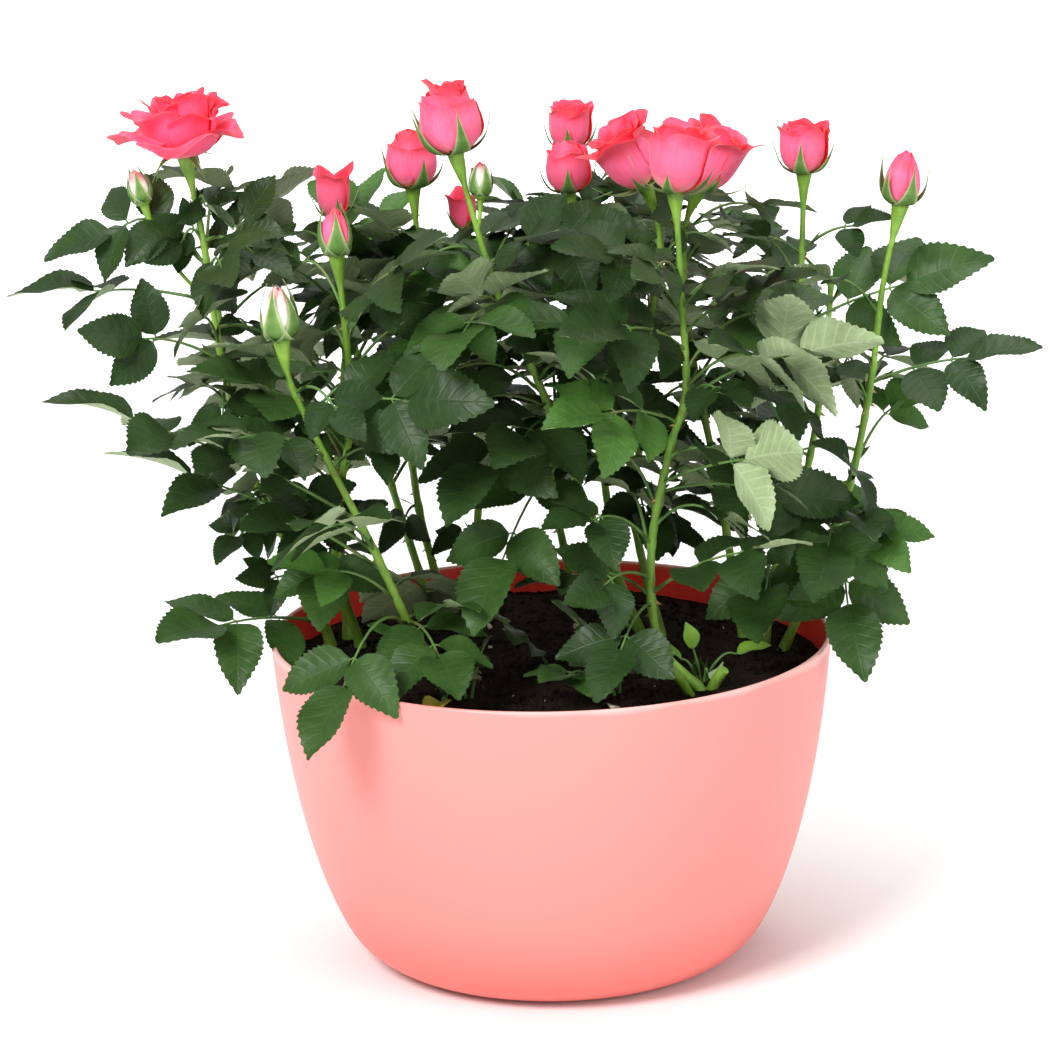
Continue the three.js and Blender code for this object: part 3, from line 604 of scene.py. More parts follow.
def pot_material(name, low, middle, high, edge, roughness, glow=0.0):
    shader = Shader(name, roughness, 0.45, coat=0.06)
    clouds = shader.noise(7, 3)
    fine = shader.noise(2600, 2)
    height = shader.split(shader.place())[2]
    rise = shader.span(height, 0.0, POT.height * METRES)
    rise = shader.maths("MULTIPLY_ADD", clouds, 0.12, shader.maths("ADD", rise, -0.06))
    # The ramp runs from a darker foot to a lighter top: painted shade low on the pot, where less light falls.
    # Its last colour, at the very top, is a painted highlight along the rim.
    base = shader.ramp(rise, [(0.0, low), (0.3, middle), (0.98, high), (1.02, edge)])
    cells = shader.node("TexVoronoi", {"Vector": shader.place(), "Scale": DIRT.cells})
    near_foot = shader.span(height, *DIRT.fades)
    rare = shader.maths("GREATER_THAN", shader.noise(DIRT.groups, 1), DIRT.rarity)
    dot = shader.maths("LESS_THAN", cells.outputs["Distance"], DIRT.radius)
    dirt = shader.times(shader.times(dot, rare), near_foot)
    shader.colour(shader.mix(shader.times(dirt, DIRT.strength), base, rgb("8a4a40")))
    # The emission is a painted glow: light coming through the thin wall.
    shader.put({"Emission Color": rgb("ff1408"), "Emission Strength": glow})
    shader.bump(fine, 0.06, 0.35)
    shader.roughness(clouds, roughness - 0.05, roughness + 0.07)
    return shader.material


def soil_material():
    shader = Shader("potting_mix", 0.95, 0.15)
    lumps = shader.noise(160, 6, 0.7)
    fibre = shader.noise(900, 5, 0.7)
    base = shader.ramp(lumps, [(0.3, "120c09"), (0.55, "241811"), (0.8, "3a281c")])
    shader.colour(shader.mix(0.4, base, shader.ramp(fibre, [(0.4, "0f0a08"), (0.75, "4a3626")])))
    shader.bump(shader.maths("MULTIPLY_ADD", fibre, 0.4, lumps), 2.2, 1.0)
    return shader.material


# ---- pot and soil
def bowl_side(inset, count=60):
    """The bowl's side from the edge of its flat base to the rim, moved inwards by inset."""
    base, corner = vec(POT.base, 0), vec(POT_HEEL.corner, 0)
    top = vec(POT_HEEL.radius, POT_HEEL.height)
    heel = bezier(np.linspace(0, 1, 12, endpoint=False), base, corner, top)
    side = bezier(np.linspace(0, 1, count), top, top + unit(top - corner) * POT_SIDE.heel_handle,
                  (POT_SIDE.rim_radius, POT_SIDE.rim_height), (POT.rim, POT.height))
    points = np.vstack([heel, side])
    way = units(np.gradient(points, axis=0))
    return points + np.stack([-way[:, 1], way[:, 0]], 1) * inset


POT_SIDES = 160
LIP = Named(steps=9, outside=1.2, inside=1.4)  # how far below the rim the two sides end under its round lip


def make_pot():
    pile = Pile()
    outside = bowl_side(0)
    outside = outside[outside[:, 1] < POT.height - LIP.outside]
    foot = [(0, 0), (POT.base - 8, 0), (POT.base, 0)]
    half = POT.wall / 2
    lip = [(POT.rim - half + half * math.cos(turn), POT.height - half + half * math.sin(turn))
           for turn in np.linspace(0, math.pi, LIP.steps)]
    lathe(pile, np.array([*foot, *outside[1:], *lip]), POT_SIDES, 0)
    inside = bowl_side(POT.wall)
    heights = inside[:, 1]
    inside = inside[(heights > POT.floor + 1) & (heights < POT.height - LIP.inside)]
    lathe(pile, np.array([lip[-1], *inside[::-1], (0, POT.floor)]), POT_SIDES, 1)
    pot = pile.build("flower_pot", [
        pot_material("pot_salmon", "e0685f", "ec867e", "f08d88", "f8b8b2", 0.4),
        # Inside, the deeper red and the faint glow are painted light coming through the thin wall.
        pot_material("pot_salmon_inside", "f02820", "f43228", "f83c32", "ff7a70", 0.5, 0.03),
    ])
    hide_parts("pot")


SOIL = Named(rings=46, sides=120, gap=0.3, grain=0.35, skirt=22, skirt_share=0.965)
CRUMBS = Named(count=3600, least=0.5, more=1.7, uneven=0.35, pale=0.012)
CRUMB = [
    (0, 0, 1), (0.9, 0, 0.2), (-0.3, 0.85, 0.25), (-0.5, -0.75, 0.2), (0.35, 0.5, -0.7), (0.2, -0.6, -0.6),
    (-0.75, 0.1, -0.6),
]
CRUMB_FACES = [
    (0, 1, 2), (0, 2, 3), (0, 3, 1), (1, 4, 2), (1, 5, 4), (1, 3, 5), (2, 4, 6), (2, 6, 3), (3, 6, 5),
    (4, 5, 6),
]


def soil_height(x, y):
    lumps = 1.3 * np.sin(x * 0.061 + 1.3) * np.cos(y * 0.07) + 0.8 * np.sin(x * 0.19 + y * 0.11)
    return SOIL_TOP - 1.0 + lumps * 0.7 + 0.5 * np.sin(x * 0.43) * np.sin(y * 0.39 + 0.7)


def make_soil():
    rng = np.random.default_rng(SEEDS.soil)
    pile = Pile()
    edge = bowl_side(POT.wall + SOIL.gap)
    radius = float(np.interp(SOIL_TOP, edge[:, 1], edge[:, 0])) - SOIL.gap
    sides = SOIL.sides
    r, turn = np.meshgrid(np.linspace(0.5, radius, SOIL.rings), round_turns(sides), indexing="ij")
    x, y = r * np.cos(turn), r * np.sin(turn)
    z = soil_height(x, y) + rng.normal(0, SOIL.grain, x.shape) * (r < radius - 1)
    pile.add(np.stack([x, y, z], -1), grid_faces(SOIL.rings, sides, closed=True))
    skirt = np.stack([x[-1], y[-1], z[-1]], -1)
    low = skirt * (SOIL.skirt_share, SOIL.skirt_share, 0) + (0, 0, SOIL_TOP - SOIL.skirt)
    pile.add(np.vstack([skirt, low]), grid_faces(2, sides, closed=True, flip=True))

    count = CRUMBS.count
    where = np.sqrt(rng.random(count)) * (radius - 2.5)
    turn = rng.random(count) * 2 * math.pi
    size = CRUMBS.least + CRUMBS.more * rng.random(count) ** 3
    x, y = where * np.cos(turn), where * np.sin(turn)
    spin = units(rng.normal(size=(count, 4)))
    turns = np.array([Quaternion(row).to_matrix() for row in spin])
    centres = np.stack([x, y, soil_height(x, y) + size * 0.25], 1)
    shapes = np.array(CRUMB)[None] * (1 + CRUMBS.uneven * rng.normal(size=(count, len(CRUMB), 1)))
    crumbs = np.einsum("nij,nvj->nvi", turns, shapes) * size[:, None, None] + centres[:, None]
    offsets = np.arange(count)[:, None, None] * len(CRUMB)
    pale = rng.random(count) < CRUMBS.pale
    faces = (np.array(CRUMB_FACES)[None] + offsets).reshape(-1, 3)
    pile.add(crumbs, faces, np.repeat(pale.astype(int), len(CRUMB_FACES)))
    perlite = mottled_material("perlite", 0.9, 0.2, 800, [(0.3, "9b8d78"), (0.7, "d8cdbb")])
    soil = pile.build("potting_mix", [soil_material(), perlite])
    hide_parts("soil")


# ---- canes
CANE_MARKS = 25  # points along a cane that distances to it are measured from


class Cane:
    """A cane's line, its radius along it and the places where its leaves grow."""

    def __init__(self, number, row):
        self.name, foot, head, self.bare, self.turn, self.bloom, self.size, bends = row
        self.number = number
        self.line = smooth_line([(*foot, GROUND), *bends, head])
        self.marks = self.line.at(np.linspace(0, 1, CANE_MARKS))
        self.nodes = []

    def radius(self, share):
        from_foot = share * self.line.length
        from_head = self.line.length - from_foot
        taper = lerp(CANE.foot, CANE.top, share)
        bare = taper + CANE.flare * np.exp(-from_foot / CANE.flare_height)
        if not self.bloom:
            return bare
        neck = lerp(NECK.high, taper, np.clip(from_head / NECK.length, 0, 1) ** 0.6) * self.size ** 0.5
        return np.where(from_head > NECK.length, bare, neck)


canes = [Cane(number, row) for number, row in enumerate(CANES)]
by_name = {cane.name: cane for cane in canes}


def surface_tree(points, faces):
    points = np.asarray(points, float).reshape(-1, 3)
    tree = BVHTree.FromPolygons(points.tolist(), [tuple(f) for f in faces])
    return tree, points.min(0), points.max(0)


def tree_of(shape, *numbers):
    """The surface of a tube or a lathe."""
    pile = Pile()
    shape(pile, *numbers)
    return surface_tree(pile.all_points(), pile.all_faces())


def sight_tree(middle, reach, radius, sides):
    """A tube in front of a place, towards the camera, which keeps leaves from hiding it."""
    sight = unit(camera_place() / METRES - middle)
    return tree_of(tube, [middle + sight * out for out in np.linspace(*reach)], radius, sides)


def touches(a, b):
    return bool((a[1] < b[2]).all() and (b[1] < a[2]).all() and a[0].overlap(b[0]))


# ---- leaves
# How leaflets differ, in shares of their length: the least droop, fold and width and what a draw adds.
# Then the spreads of their angle, tilt and roll, and how far those at the side roll outwards.
DROOP, FOLD, WIDE = (0.1, 0.28), (0.1, 0.42), (0.59, 0.14)
STRAY = Named(angle=12, tilt=0.16, roll=0.55, side_roll=0.12)
# A leaflet's outline: the powers by which it widens from its base and narrows to its tip, where it is widest,
# and its teeth a side. Then the points across it, and how far apart its two skins are inside the edge.
BLADE = Named(base=0.7, tip=1.02, widest=0.407, teeth=14)
ACROSS = (-1, -0.52, 0, 0.52, 1)
BLADE_THICK = 0.25
STALK = Named(foot=0.85, head=0.45, sides=5, leaflet=0.38, leaflet_sides=4)
STIPULE = [(1.6, 0, 0), (7.6, 1.9, 0), (12.1, 2.8, 0.6), (9.1, 0, 0), (6.6, 0.8, 0.5)]  # along, out and up


def grow_leaf(root, tip, pairs, facing, arch, draw, tint, last=None):
    """A compound leaf: its stalk's points and a row for each leaflet, by the source's rule."""
    length = np.linalg.norm(tip - root)
    forward = unit(tip - root)
    side = unit(np.cross(forward, facing))
    last = last or float(np.clip(length * LEAFLET.share, LEAFLET.least, LEAFLET.most))
    end = root + forward * (length - last) + UP * arch * 0.4
    middle = lerp(root, end, 0.5) + UP * arch
    shares = [0.84 - (pairs - pair) * 0.8 / pairs for pair in range(1, pairs + 1)] + [1.0]
    leaflets = []
    for k, share in enumerate(shares):
        knot = bezier(share, root, middle, end)
        along = unit(2 * (1 - share) * (middle - root) + 2 * share * (end - middle))
        up = unit(np.cross(side, along))
        for hand in ((0,) if k == pairs else (1, -1)):
            angle = hand * math.radians(LEAFLET.angle + STRAY.angle * (draw() - 0.5))
            size = last
            if hand:
                size = last * LEAFLET.side * (0.9 + 0.2 * draw()) * lerp(0.8, 1, (k + 1) / pairs)
            droop = drawn(DROOP, draw)
            tilt = STRAY.tilt * (draw() - 0.35)
            roll = STRAY.roll * (draw() - 0.5) - hand * STRAY.side_roll
            if hand == 0:
                way = unit(tip + up * droop * last * 0.7 - knot)
            else:
                way = unit(along * math.cos(angle) + side * math.sin(angle) - up * tilt)
            normal = unit(up - way * (up @ way))
            normal = turn_about(normal, way, roll)
            foot = knot + way * LEAFLET.petiolule * (0.2 if hand == 0 else 1)
            leaflets.append(Named(foot=foot, knot=knot, way=way, normal=normal, size=size, droop=droop,
                                 wide=drawn(WIDE, draw), fold=drawn(FOLD, draw), phase=draw(), tint=tint))
    stalk = bezier(np.linspace(0, 1, 9), root, middle, end)
    return stalk, leaflets, side


def leaf_tree(stalk, leaflets, side):
    """A coarse surface of a leaf, for the clearance test: a ribbon and four triangles for each leaflet."""
    points, faces = [], []
    ribbon = np.stack([stalk - side * 0.7, stalk + side * 0.7], 1)
    points.extend(ribbon.reshape(-1, 3))
    faces.extend(grid_faces(len(stalk), 2).tolist())
    for row in leaflets:
        base = len(points)
        across = np.cross(row.normal, row.way) * row.size * row.wide * 0.36
        rise = row.normal * row.size
        tip = row.foot + (row.way * row.size - rise * row.droop) * 0.86
        middle = row.foot + row.way * row.size * 0.42 - rise * row.droop * 0.18
        lift = rise * row.fold * row.wide * 0.4
        points.extend([row.foot, middle + across + lift, tip, middle - across + lift, middle])
        faces.extend((base + k, base + (k + 1) % 4, base + 4) for k in range(4))
    return surface_tree(points, faces)


def blade_width(t):
    return t ** BLADE.base * (1 - t) ** BLADE.tip


def blade_template(teeth):
    """One leaflet of length 1 and half width 1: its points, how far across each is, and its triangles."""
    rows = 2 * teeth
    u = np.linspace(0, 1, rows + 1)[1:-1]
    columns = len(ACROSS)
    along = np.repeat(u[:, None], columns, 1)
    v = np.repeat(np.array(ACROSS)[None], len(u), 0)
    y = v * (blade_width(along) / blade_width(BLADE.widest))
    is_edge = np.abs(v) == 1
    is_tooth = is_edge & (np.arange(len(u)) % 2 == 0)[:, None]
    y = np.where(is_tooth, y * 1.03 + np.sign(v) * 0.02, np.where(is_edge, y * 0.97, y))
    along = np.where(is_tooth, along + 0.55 / rows, along)
    points = np.concatenate([[(0, 0)], np.stack([along, y], -1).reshape(-1, 2), [(1, 0)]])
    v = np.concatenate([[0], v.ravel(), [0]])
    quads = grid_faces(len(u), columns, flip=True) + 1
    last = len(points) - 1
    low = last - columns
    foot_fan = [(0, c + 1, c + 2) for c in range(columns - 1)]
    tip_fan = [(low + c + 1, low + c, last) for c in range(columns - 1)]
    return points, v, np.concatenate([quads[:, [0, 1, 2]], quads[:, [0, 2, 3]], foot_fan, tip_fan])


def leaflet_blades(pile, leaflets):
    """Adds leaflets to a pile: a toothed, folded, drooping blade with an upper and a lower skin."""
    def column(key):
        return np.array([getattr(row, key) for row in leaflets])

    points, v, upper = blade_template(BLADE.teeth)
    u, y = points[:, 0], points[:, 1]
    keys = ("size", "wide", "fold", "droop", "phase")
    size, wide, fold, droop, phase = (column(key)[:, None] for key in keys)
    half = y[None] * wide * 0.5
    veins = np.cos(2 * math.pi * (u * 6.5 - np.abs(v) * 1.3))[None]
    z = np.abs(half) * fold * (1 - 0.35 * u) - droop * u ** 2
    z = z + 0.005 * veins * (np.abs(v) > 0.1) * (1 - np.abs(v) * 0.4)
    z = z + 0.025 * v[None] ** 2 * np.sin(2 * math.pi * (1.6 * u[None] + phase) + np.sign(v)[None] * 1.3)
    half = half + 0.12 * (phase - 0.5) * u[None] ** 2
    x = u[None] * (1 - 0.12 * droop)
    way, normal, tints = column("way"), column("normal"), column("tint")
    local = np.stack([np.broadcast_to(x, z.shape), half, z], -1) * size[..., None]
    axes = np.stack([way, np.cross(normal, way), normal], 1)
    top = np.einsum("nvk,nkj->nvj", local, axes) + column("foot")[:, None]
    thick = (np.abs(v) < 1) * BLADE_THICK
    thick[[0, -1]] = 0
    bottom = top - normal[:, None] * thick[None, :, None]
    uv = np.tile(np.stack([u, (v + 1) / 2], -1), (len(leaflets), 1))
    offsets = (np.arange(len(leaflets)) * len(points))[:, None, None]
    backs = np.array([back_slot(tint) for tint in tints])
    for skin, faces, slots in ((top, upper, tints), (bottom, upper[:, ::-1], backs)):
        pile.add(skin, (faces[None] + offsets).reshape(-1, 3), np.repeat(slots, len(upper)), uv)


def crown_share(p):
    """How far out in the crown a point is, 1 on its edge."""
    rise = np.clip((p[2] - CROWN.low) / (CROWN.wide - CROWN.low), 0, 1)
    shape = lerp(CROWN.low_share, 1, rise)
    across = (p[0] - CROWN.x) / (CROWN.half_x * shape)
    return math.hypot(across, (p[1] - CROWN.y) / (CROWN.half_y * shape))


def distance_to(cane, p):
    return np.linalg.norm(cane.marks - p, axis=1).min()


def is_home(cane, tip):
    high = CROWN.high + CROWN.slope * tip[0]
    if tip[2] < CROWN.low or tip[2] > high or crown_share(tip) > 1:
        return False
    own = distance_to(cane, tip)
    return all(other is cane or distance_to(other, tip) > own - SHARE for other in canes)


def facing_of(root, tip, roll, outward=OUTWARD):
    out = lerp(root, tip, 0.6) * (1, 1, 0) - vec(CROWN.x, CROWN.y, 0)
    outward *= np.clip((tip[2] - SOIL_TOP) / UPRIGHT_ABOVE_SOIL, 0.1, 1)
    return turn_about(UP + unit(out) * outward, tip - root, math.radians(roll))


def swing(go):
    """Which way and how far the tries swing: 0, 1, -2, 3, -4 and so on."""
    return go if go % 2 else -go


def tint_for(draw, tip):
    """Leaves high up are drawn dark a little more often, and the low ones brighter."""
    roll = draw() + (0.12 if tip[2] < 210 else 0) - (0.06 if tip[2] > 300 else 0)
    return DARK if roll < 0.3 else GREEN if roll < 0.7 else MID if roll < 0.9 else FRESH


class Bush:
    """Places leaves one after another, each clear of all before it."""

    def __init__(self):
        self.leaves = []
        self.taken = []

    def block(self, tree, owner=None):
        self.taken.append((tree, owner))

    def place(self, cane, root, tip, pairs, facing, arch, seed, tint, last=None):
        stalk, leaflets, side = grow_leaf(root, tip, pairs, facing, arch, seeded(seed), tint, last)
        tree = leaf_tree(stalk, leaflets, side)
        if not last and any(owner is not cane and touches(tree, other) for other, owner in self.taken):
            return False
        self.block(tree)
        self.leaves.append((cane, stalk, leaflets, side))
        cane.nodes.append(root)
        return True

    def keep_off(self):
        """Blocks the canes, the blooms, the pot and the soil."""
        for cane in canes:
            shares = np.linspace(0, 1, 22)
            self.block(tree_of(tube, cane.line.at(shares), cane.radius(shares) + 0.4, 6), cane)
            if cane.bloom:
                head, way = cane.line.at(1.0), cane.line.way(1.0)
                cup = [head + way * height * cane.size for height, radius in BLOOM_SPACE]
                radii = np.array([radius for height, radius in BLOOM_SPACE]) * cane.size
                self.block(tree_of(tube, cup, radii, 8))
        self.block(tree_of(lathe, bowl_side(POT.wall / 2), 64))
        self.block(tree_of(lathe, [(POT.rim - 4, SOIL_TOP), (1, SOIL_TOP)], 32))

    def keep_in_view(self):
        """Blocks the openings, and the space in front of the blooms and of the canes that show."""
        for x, z, radius in OPENINGS:
            self.block(sight_tree(vec(x, 0, z), OPENING_REACH, radius, 6))
        for cane in canes:
            if cane.bloom:
                middle = cane.line.at(1.0) + UP * BLOOM_MIDDLE * cane.size
                self.block(sight_tree(middle, BLOOM_REACH, BLOOM_CLEAR * cane.size, 8))
        for name, low, high in IN_VIEW:
            line = by_name[name].line.at(np.linspace(low, high, 12))
            screen = np.stack([line + edge for edge in SCREEN], 1)
            self.block(surface_tree(screen, grid_faces(12, 2)))

    def place_reaches(self):
        """The leaves that set the outline, each tried a little higher, lower and rolled until it is clear."""
        for i, (name, at, tip, pairs, roll, arch, tint) in enumerate(REACHES):
            cane, tip = by_name[name], vec(*tip)
            for go in range(PLACING.tries):
                step = PLACING.root_step * (-1 if go > PLACING.root_turns else 1)
                root = cane.line.at(at + (go % 3) * step)
                facing = facing_of(root, tip, roll + swing(go) * PLACING.roll_step)
                seed = SEEDS.reaches + i * SEED_STEPS.reach + go
                if self.place(cane, root, tip, pairs, facing, arch, seed, tint):
                    break

    def place_sprouts(self):
        for i, (foot, tip, pairs, last, roll, arch, tint) in enumerate(SPROUTS):
            root, tip = vec(*foot, SOIL_TOP - 1.5), vec(*tip)
            near = min(canes, key=lambda cane: np.linalg.norm(cane.marks[0] - root))
            facing = UP + turn_about(vec(0, -0.3, 0), tip - root, math.radians(roll))
            self.place(near, root, tip, pairs, facing, arch, SEEDS.sprouts + i, tint, last)

    def grow_node(self, cane, node):
        """Tries one leaf of a cane, two fifths of a turn on from the last one."""
        at = cane.bare + (LEAF.first + node * LEAF.step) / cane.line.length
        if at > 1 - (LEAF.below_bloom if cane.bloom else LEAF.below_tip) / cane.line.length:
            return
        seed = cane.number * SEED_STEPS.cane
        draw = seeded(seed + node)
        root = cane.line.at(at)
        shorter = lerp(1, LEAF.top_share, (at - cane.bare) / (1 - cane.bare))
        for go in range(PLACING.tries):
            bearing = math.radians(cane.turn + node * LEAF.turn + swing(go) * PLACING.swing)
            lift = math.radians(LEAF.lift + LEAF.lift_spread * (draw() - 0.5))
            small = go >= PLACING.whole_tries
            length = LEAF.length * drawn(LEAF.share, draw) * shorter * (LEAF.small_share if small else 1)
            way = vec(math.cos(bearing) * math.cos(lift), math.sin(bearing) * math.cos(lift), math.sin(lift))
            tip = root + way * length
            if not is_home(cane, tip):
                continue
            facing = facing_of(root, tip, LEAF.roll_spread * (draw() - 0.5), OUTWARD_INSIDE)
            arch = drawn(LEAF.arch, draw)
            tint = tint_for(draw, tip)
            leaf_seed = seed + node * SEED_STEPS.node + go
            if self.place(cane, root, tip, 1 if small else 2, facing, arch, leaf_seed, tint):
                return


def grow_bush():
    bush = Bush()
    bush.keep_off()
    bush.place_reaches()
    bush.place_sprouts()
    bush.keep_in_view()
    most = math.ceil(max(cane.line.length * (1 - cane.bare) for cane in canes) / LEAF.step)
    for node in range(most):
        for cane in canes:
            bush.grow_node(cane, node)
    return bush


def add_stipules(pile, stalk, side):
    """The pair of narrow green wings along a leaf stalk's foot, each four triangles from its last point."""
    way = unit(stalk[2] - stalk[0])
    up = unit(np.cross(side, way))
    for hand in (1, -1):
        points = [stalk[0] + way * along + side * hand * out + up * rise for along, out, rise in STIPULE]
        faces = [(k, (k + 1) % 4, 4) for k in range(4)]
        pile.add(points, faces + [(b, a, c) for a, b, c in faces])


def make_leaves(bush):
    slots = LEAF_TOPS + LEAF_BACKS
    bars = [(0.3, "43602c"), (0.55, "5f8340"), (0.8, "7c7448")]
    stalk_material = mottled_material("leaf_stalk", 0.5, 0.4, 45, bars, (1500, 0.1, 0.5))
    for group, names in GROUPS.items():
        pile, stalks = Pile(), Pile()
        rows = []
        for cane, stalk, leaflets, side in bush.leaves:
            if cane.name not in names:
                continue
            rows.extend(leaflets)
            radii = np.linspace(STALK.foot, STALK.head, len(stalk))
            tube(stalks, stalk, radii, STALK.sides, 0, side)
            for row in leaflets:
                run = [row.knot, row.foot + row.way * 0.8]
                tube(stalks, run, STALK.leaflet, STALK.leaflet_sides, 0, row.normal)
            add_stipules(stalks, stalk, side)
        leaflet_blades(pile, rows)
        leaves = pile.build("leaves_" + group, slots)
        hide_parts(*("foliage_" + name for name in names))
        twigs = stalks.build("leaf_stalks_" + group, [stalk_material])


# ---- blooms
# A ring of petals: their number, widest radius, rim radius, height and spread to each side, how far the rim
# rolls out, how high the foot stands, the rim's wave, the foot's radius, and how far a petal strays.
Ring = namedtuple("Ring", "count belly rim height half_angle roll rise wave foot stray",
                  defaults=(0, 0, 0, 1.8, 0.06))
RINGS = {
    "bud": [Ring(3, 5.4, 0.8, 19.5, 96), Ring(3, 6.3, 1.8, 18.5, 78, 0.3)],
    "half": [Ring(3, 4.4, 3.2, 22.5, 100, 0.3, 3, 0.4, 1.2), Ring(3, 7.0, 6.4, 24.5, 84, 1.2, 2, 1.0),
             Ring(3, 9.0, 8.8, 24, 74, 2.2, 1, 1.6), Ring(4, 9.9, 10.0, 22.5, 52, 2.6, 0, 2.0)],
    "oval": [Ring(3, 4.6, 2.2, 25, 100, 0.2, 3, foot=1.2), Ring(3, 7.8, 4.2, 26.5, 92, 0.6, 2, 0.5),
             Ring(3, 10.0, 5.8, 25, 84, 1.2, 1, 0.6), Ring(3, 11.2, 9.0, 22, 66, 2.0, 0, 0.9)],
    "urn": [Ring(3, 5.0, 6.2, 29, 66, 1.8, 3, 1.4, 1.2), Ring(3, 7.0, 4.8, 25.5, 95, 0.4, 2, 0.4),
            Ring(3, 10.0, 7.2, 24, 88, 1.2, 1, 0.6), Ring(3, 11.4, 9.2, 21, 80, 1.8, 0, 0.9)],
    "loose": [Ring(3, 4.4, 2.8, 20, 90, 0.6, 2, 0.4, 1.2),
              Ring(3, 7.4, 8.8, 24.5, 62, 2.0, 0, 2.2, stray=0.1)],
    "wide": [Ring(3, 4.4, 3.4, 24, 100, 0.4, 3, 0.6, 1.2), Ring(3, 6.8, 7.2, 27.5, 84, 1.4, 2, 1.2),
             Ring(3, 8.4, 10.6, 29, 72, 2.4, 1, 1.8), Ring(4, 10.2, 14.2, 27, 60, 3.2, 0, 2.4, stray=0.12)],
    "open": [Ring(4, 4.6, 4.0, 25, 84, 0.6, 4, 0.6, 1.0), Ring(5, 7.6, 8.4, 27, 60, 1.8, 3, 1.6, stray=0.12),
             Ring(5, 10.6, 12.8, 26.5, 56, 2.8, 2, 2.4, stray=0.14),
             Ring(5, 12.6, 18.5, 21.5, 48, 3.6, 1, 3.2, 2.4, stray=0.18),
             Ring(5, 13.0, 26.0, 13, 44, 4.2, 0, 4.6, 2.8, stray=0.18)],
}
# A sepal's half width and its run as (radius, height) pairs.
SEPALS = {
    "bud": (5.2, [(2.2, 0), (10.0, 2.0), (7.4, 12.5), (2.6, 20.5)]),
    "showing": (3.6, [(2.2, 0), (9.9, 1.6), (8.4, 8.5), (8.8, 15)]),
    "half": (4.2, [(2.4, 0), (13.0, -0.5), (12.4, 10), (15.5, 17)]),
    "oval": (4.4, [(2.4, 0), (14.0, -0.5), (13.4, 10), (15.5, 18)]),
    "urn": (4.2, [(2.4, 0), (14.4, -0.5), (13.6, 10), (17.5, 19)]),
    "loose": (2.9, [(2.2, 0), (9.4, 0), (9.6, 8), (13.5, 14)]),
    "wide": (3.6, [(2.6, 0), (13.8, -1), (17.0, 6), (20.5, 12)]),
    "open": (2.6, [(2.6, 0), (8.0, 3), (14.0, -1), (17.0, -9)]),
}
# The blooms whose form, petals, sepals or lean differ from those of their kind.
BLOOM_FORMS = {"centre": "urn", "back_left": "oval", "centre_rear": "oval"}
BLOOM_LOOKS = {"left_outer": "open", "front_left": "pale"}
SHOWING = "right_outer"  # the bud whose sepals have let go
OPEN_FRONT = 54  # turns its sepals so that none stands in front
LEANS = {"right_inner": (-0.75, -0.1, 0), "right_rear": (0.42, 0, 0), "front_right": (0.3, 0, 0)}
UPRIGHT = 0.9  # how much straighter a bloom stands than its stalk
SEPAL_COUNT = 5
PETAL_THICK, SEPAL_THICK = 0.32, 0.3
SHOOT_STALK = (0.8, 2.2)  # radius at the foot and under the bud
# The green hip under a bloom: its top as (radius, height) pairs, and its taper into the stalk as pairs of how
# far below the bloom and radius.
HIP = [(0.2, -1.2), (3.2, -1.0), (3.6, 0.8), (3.4, 3.4), (2.0, 5.6), (0.2, 6)]
HIP_TAPER = [(0, 3.5), (3, 3.1), (7, 2.3), (12, 1.5), (15, 0)]


def bloom_place(head, way):
    """Sends points from a bloom's own space, base at the origin and opening up +Z, to its place."""
    side = unit(np.cross(way, (0.3, 1, 0.1)))
    axes = np.stack([side, np.cross(way, side), way])
    return lambda points: np.asarray(points) @ axes + head


def petal(pile, ring, turn, size, draw, place, rows=16, columns=15):
    """One petal as a thin shell: an inner and an outer skin that meet at the edge."""
    stray = ring.stray
    height = ring.height * (1 + stray * (1.4 * draw() - 0.9))
    lean = 1 + stray * 2 * (draw() - 0.5)
    belly, rim = ring.belly * (0.5 + 0.5 * lean), ring.rim * lean
    s, t = np.meshgrid(np.linspace(0, 1, rows), np.linspace(-1, 1, columns), indexing="ij")
    skew = 0.12 * (draw() - 0.5)
    top = 1 - (0.14 + 0.1 * draw()) * np.abs(t) ** 2.2 + skew * t + 0.05 * (1 - np.abs(t)) ** 4
    top = top + 0.015 * np.sin(11 * t + 6 * draw())
    s = s * top
    run = bezier(s, (ring.foot, ring.rise), (belly * 1.42, ring.rise + height * 0.12),
                 (belly * 0.98, height * 0.72), (rim, height))
    r, z = run[..., 0], run[..., 1]
    curl = np.clip((s - 0.76) / 0.24, 0, 1.3) ** 1.8 * (0.75 + 0.5 * np.abs(t) ** 1.5)
    wave = ring.wave * np.sin(math.pi * (1.3 * t + 2 * draw())) * s ** 3
    r = (r + ring.roll * curl + wave * 0.4) * (1 - 0.085 * t)
    z = z - ring.roll * 0.7 * curl + wave * 0.8
    narrow = 0.4 + 0.6 * np.clip(s * 2.0, 0, 1) ** 0.7
    angle = math.radians(turn) + math.radians(ring.half_angle) * t * narrow
    outer = np.stack([r * np.cos(angle), r * np.sin(angle), z], -1) * size
    normal = np.cross(np.gradient(outer, axis=1), np.gradient(outer, axis=0))
    normal /= np.linalg.norm(normal, axis=-1, keepdims=True) + 1e-9
    thick = PETAL_THICK * np.clip((1 - np.abs(t)) * 8, 0, 1) * np.clip((top - s) * 9, 0, 1)
    inner = outer - normal * thick[..., None]
    uv = np.stack([(t + 1) / 2, s], -1)
    pile.add(place(outer.reshape(-1, 3)), grid_faces(rows, columns), 1, uv)
    pile.add(place(inner.reshape(-1, 3)), grid_faces(rows, columns, flip=True), 0, uv)


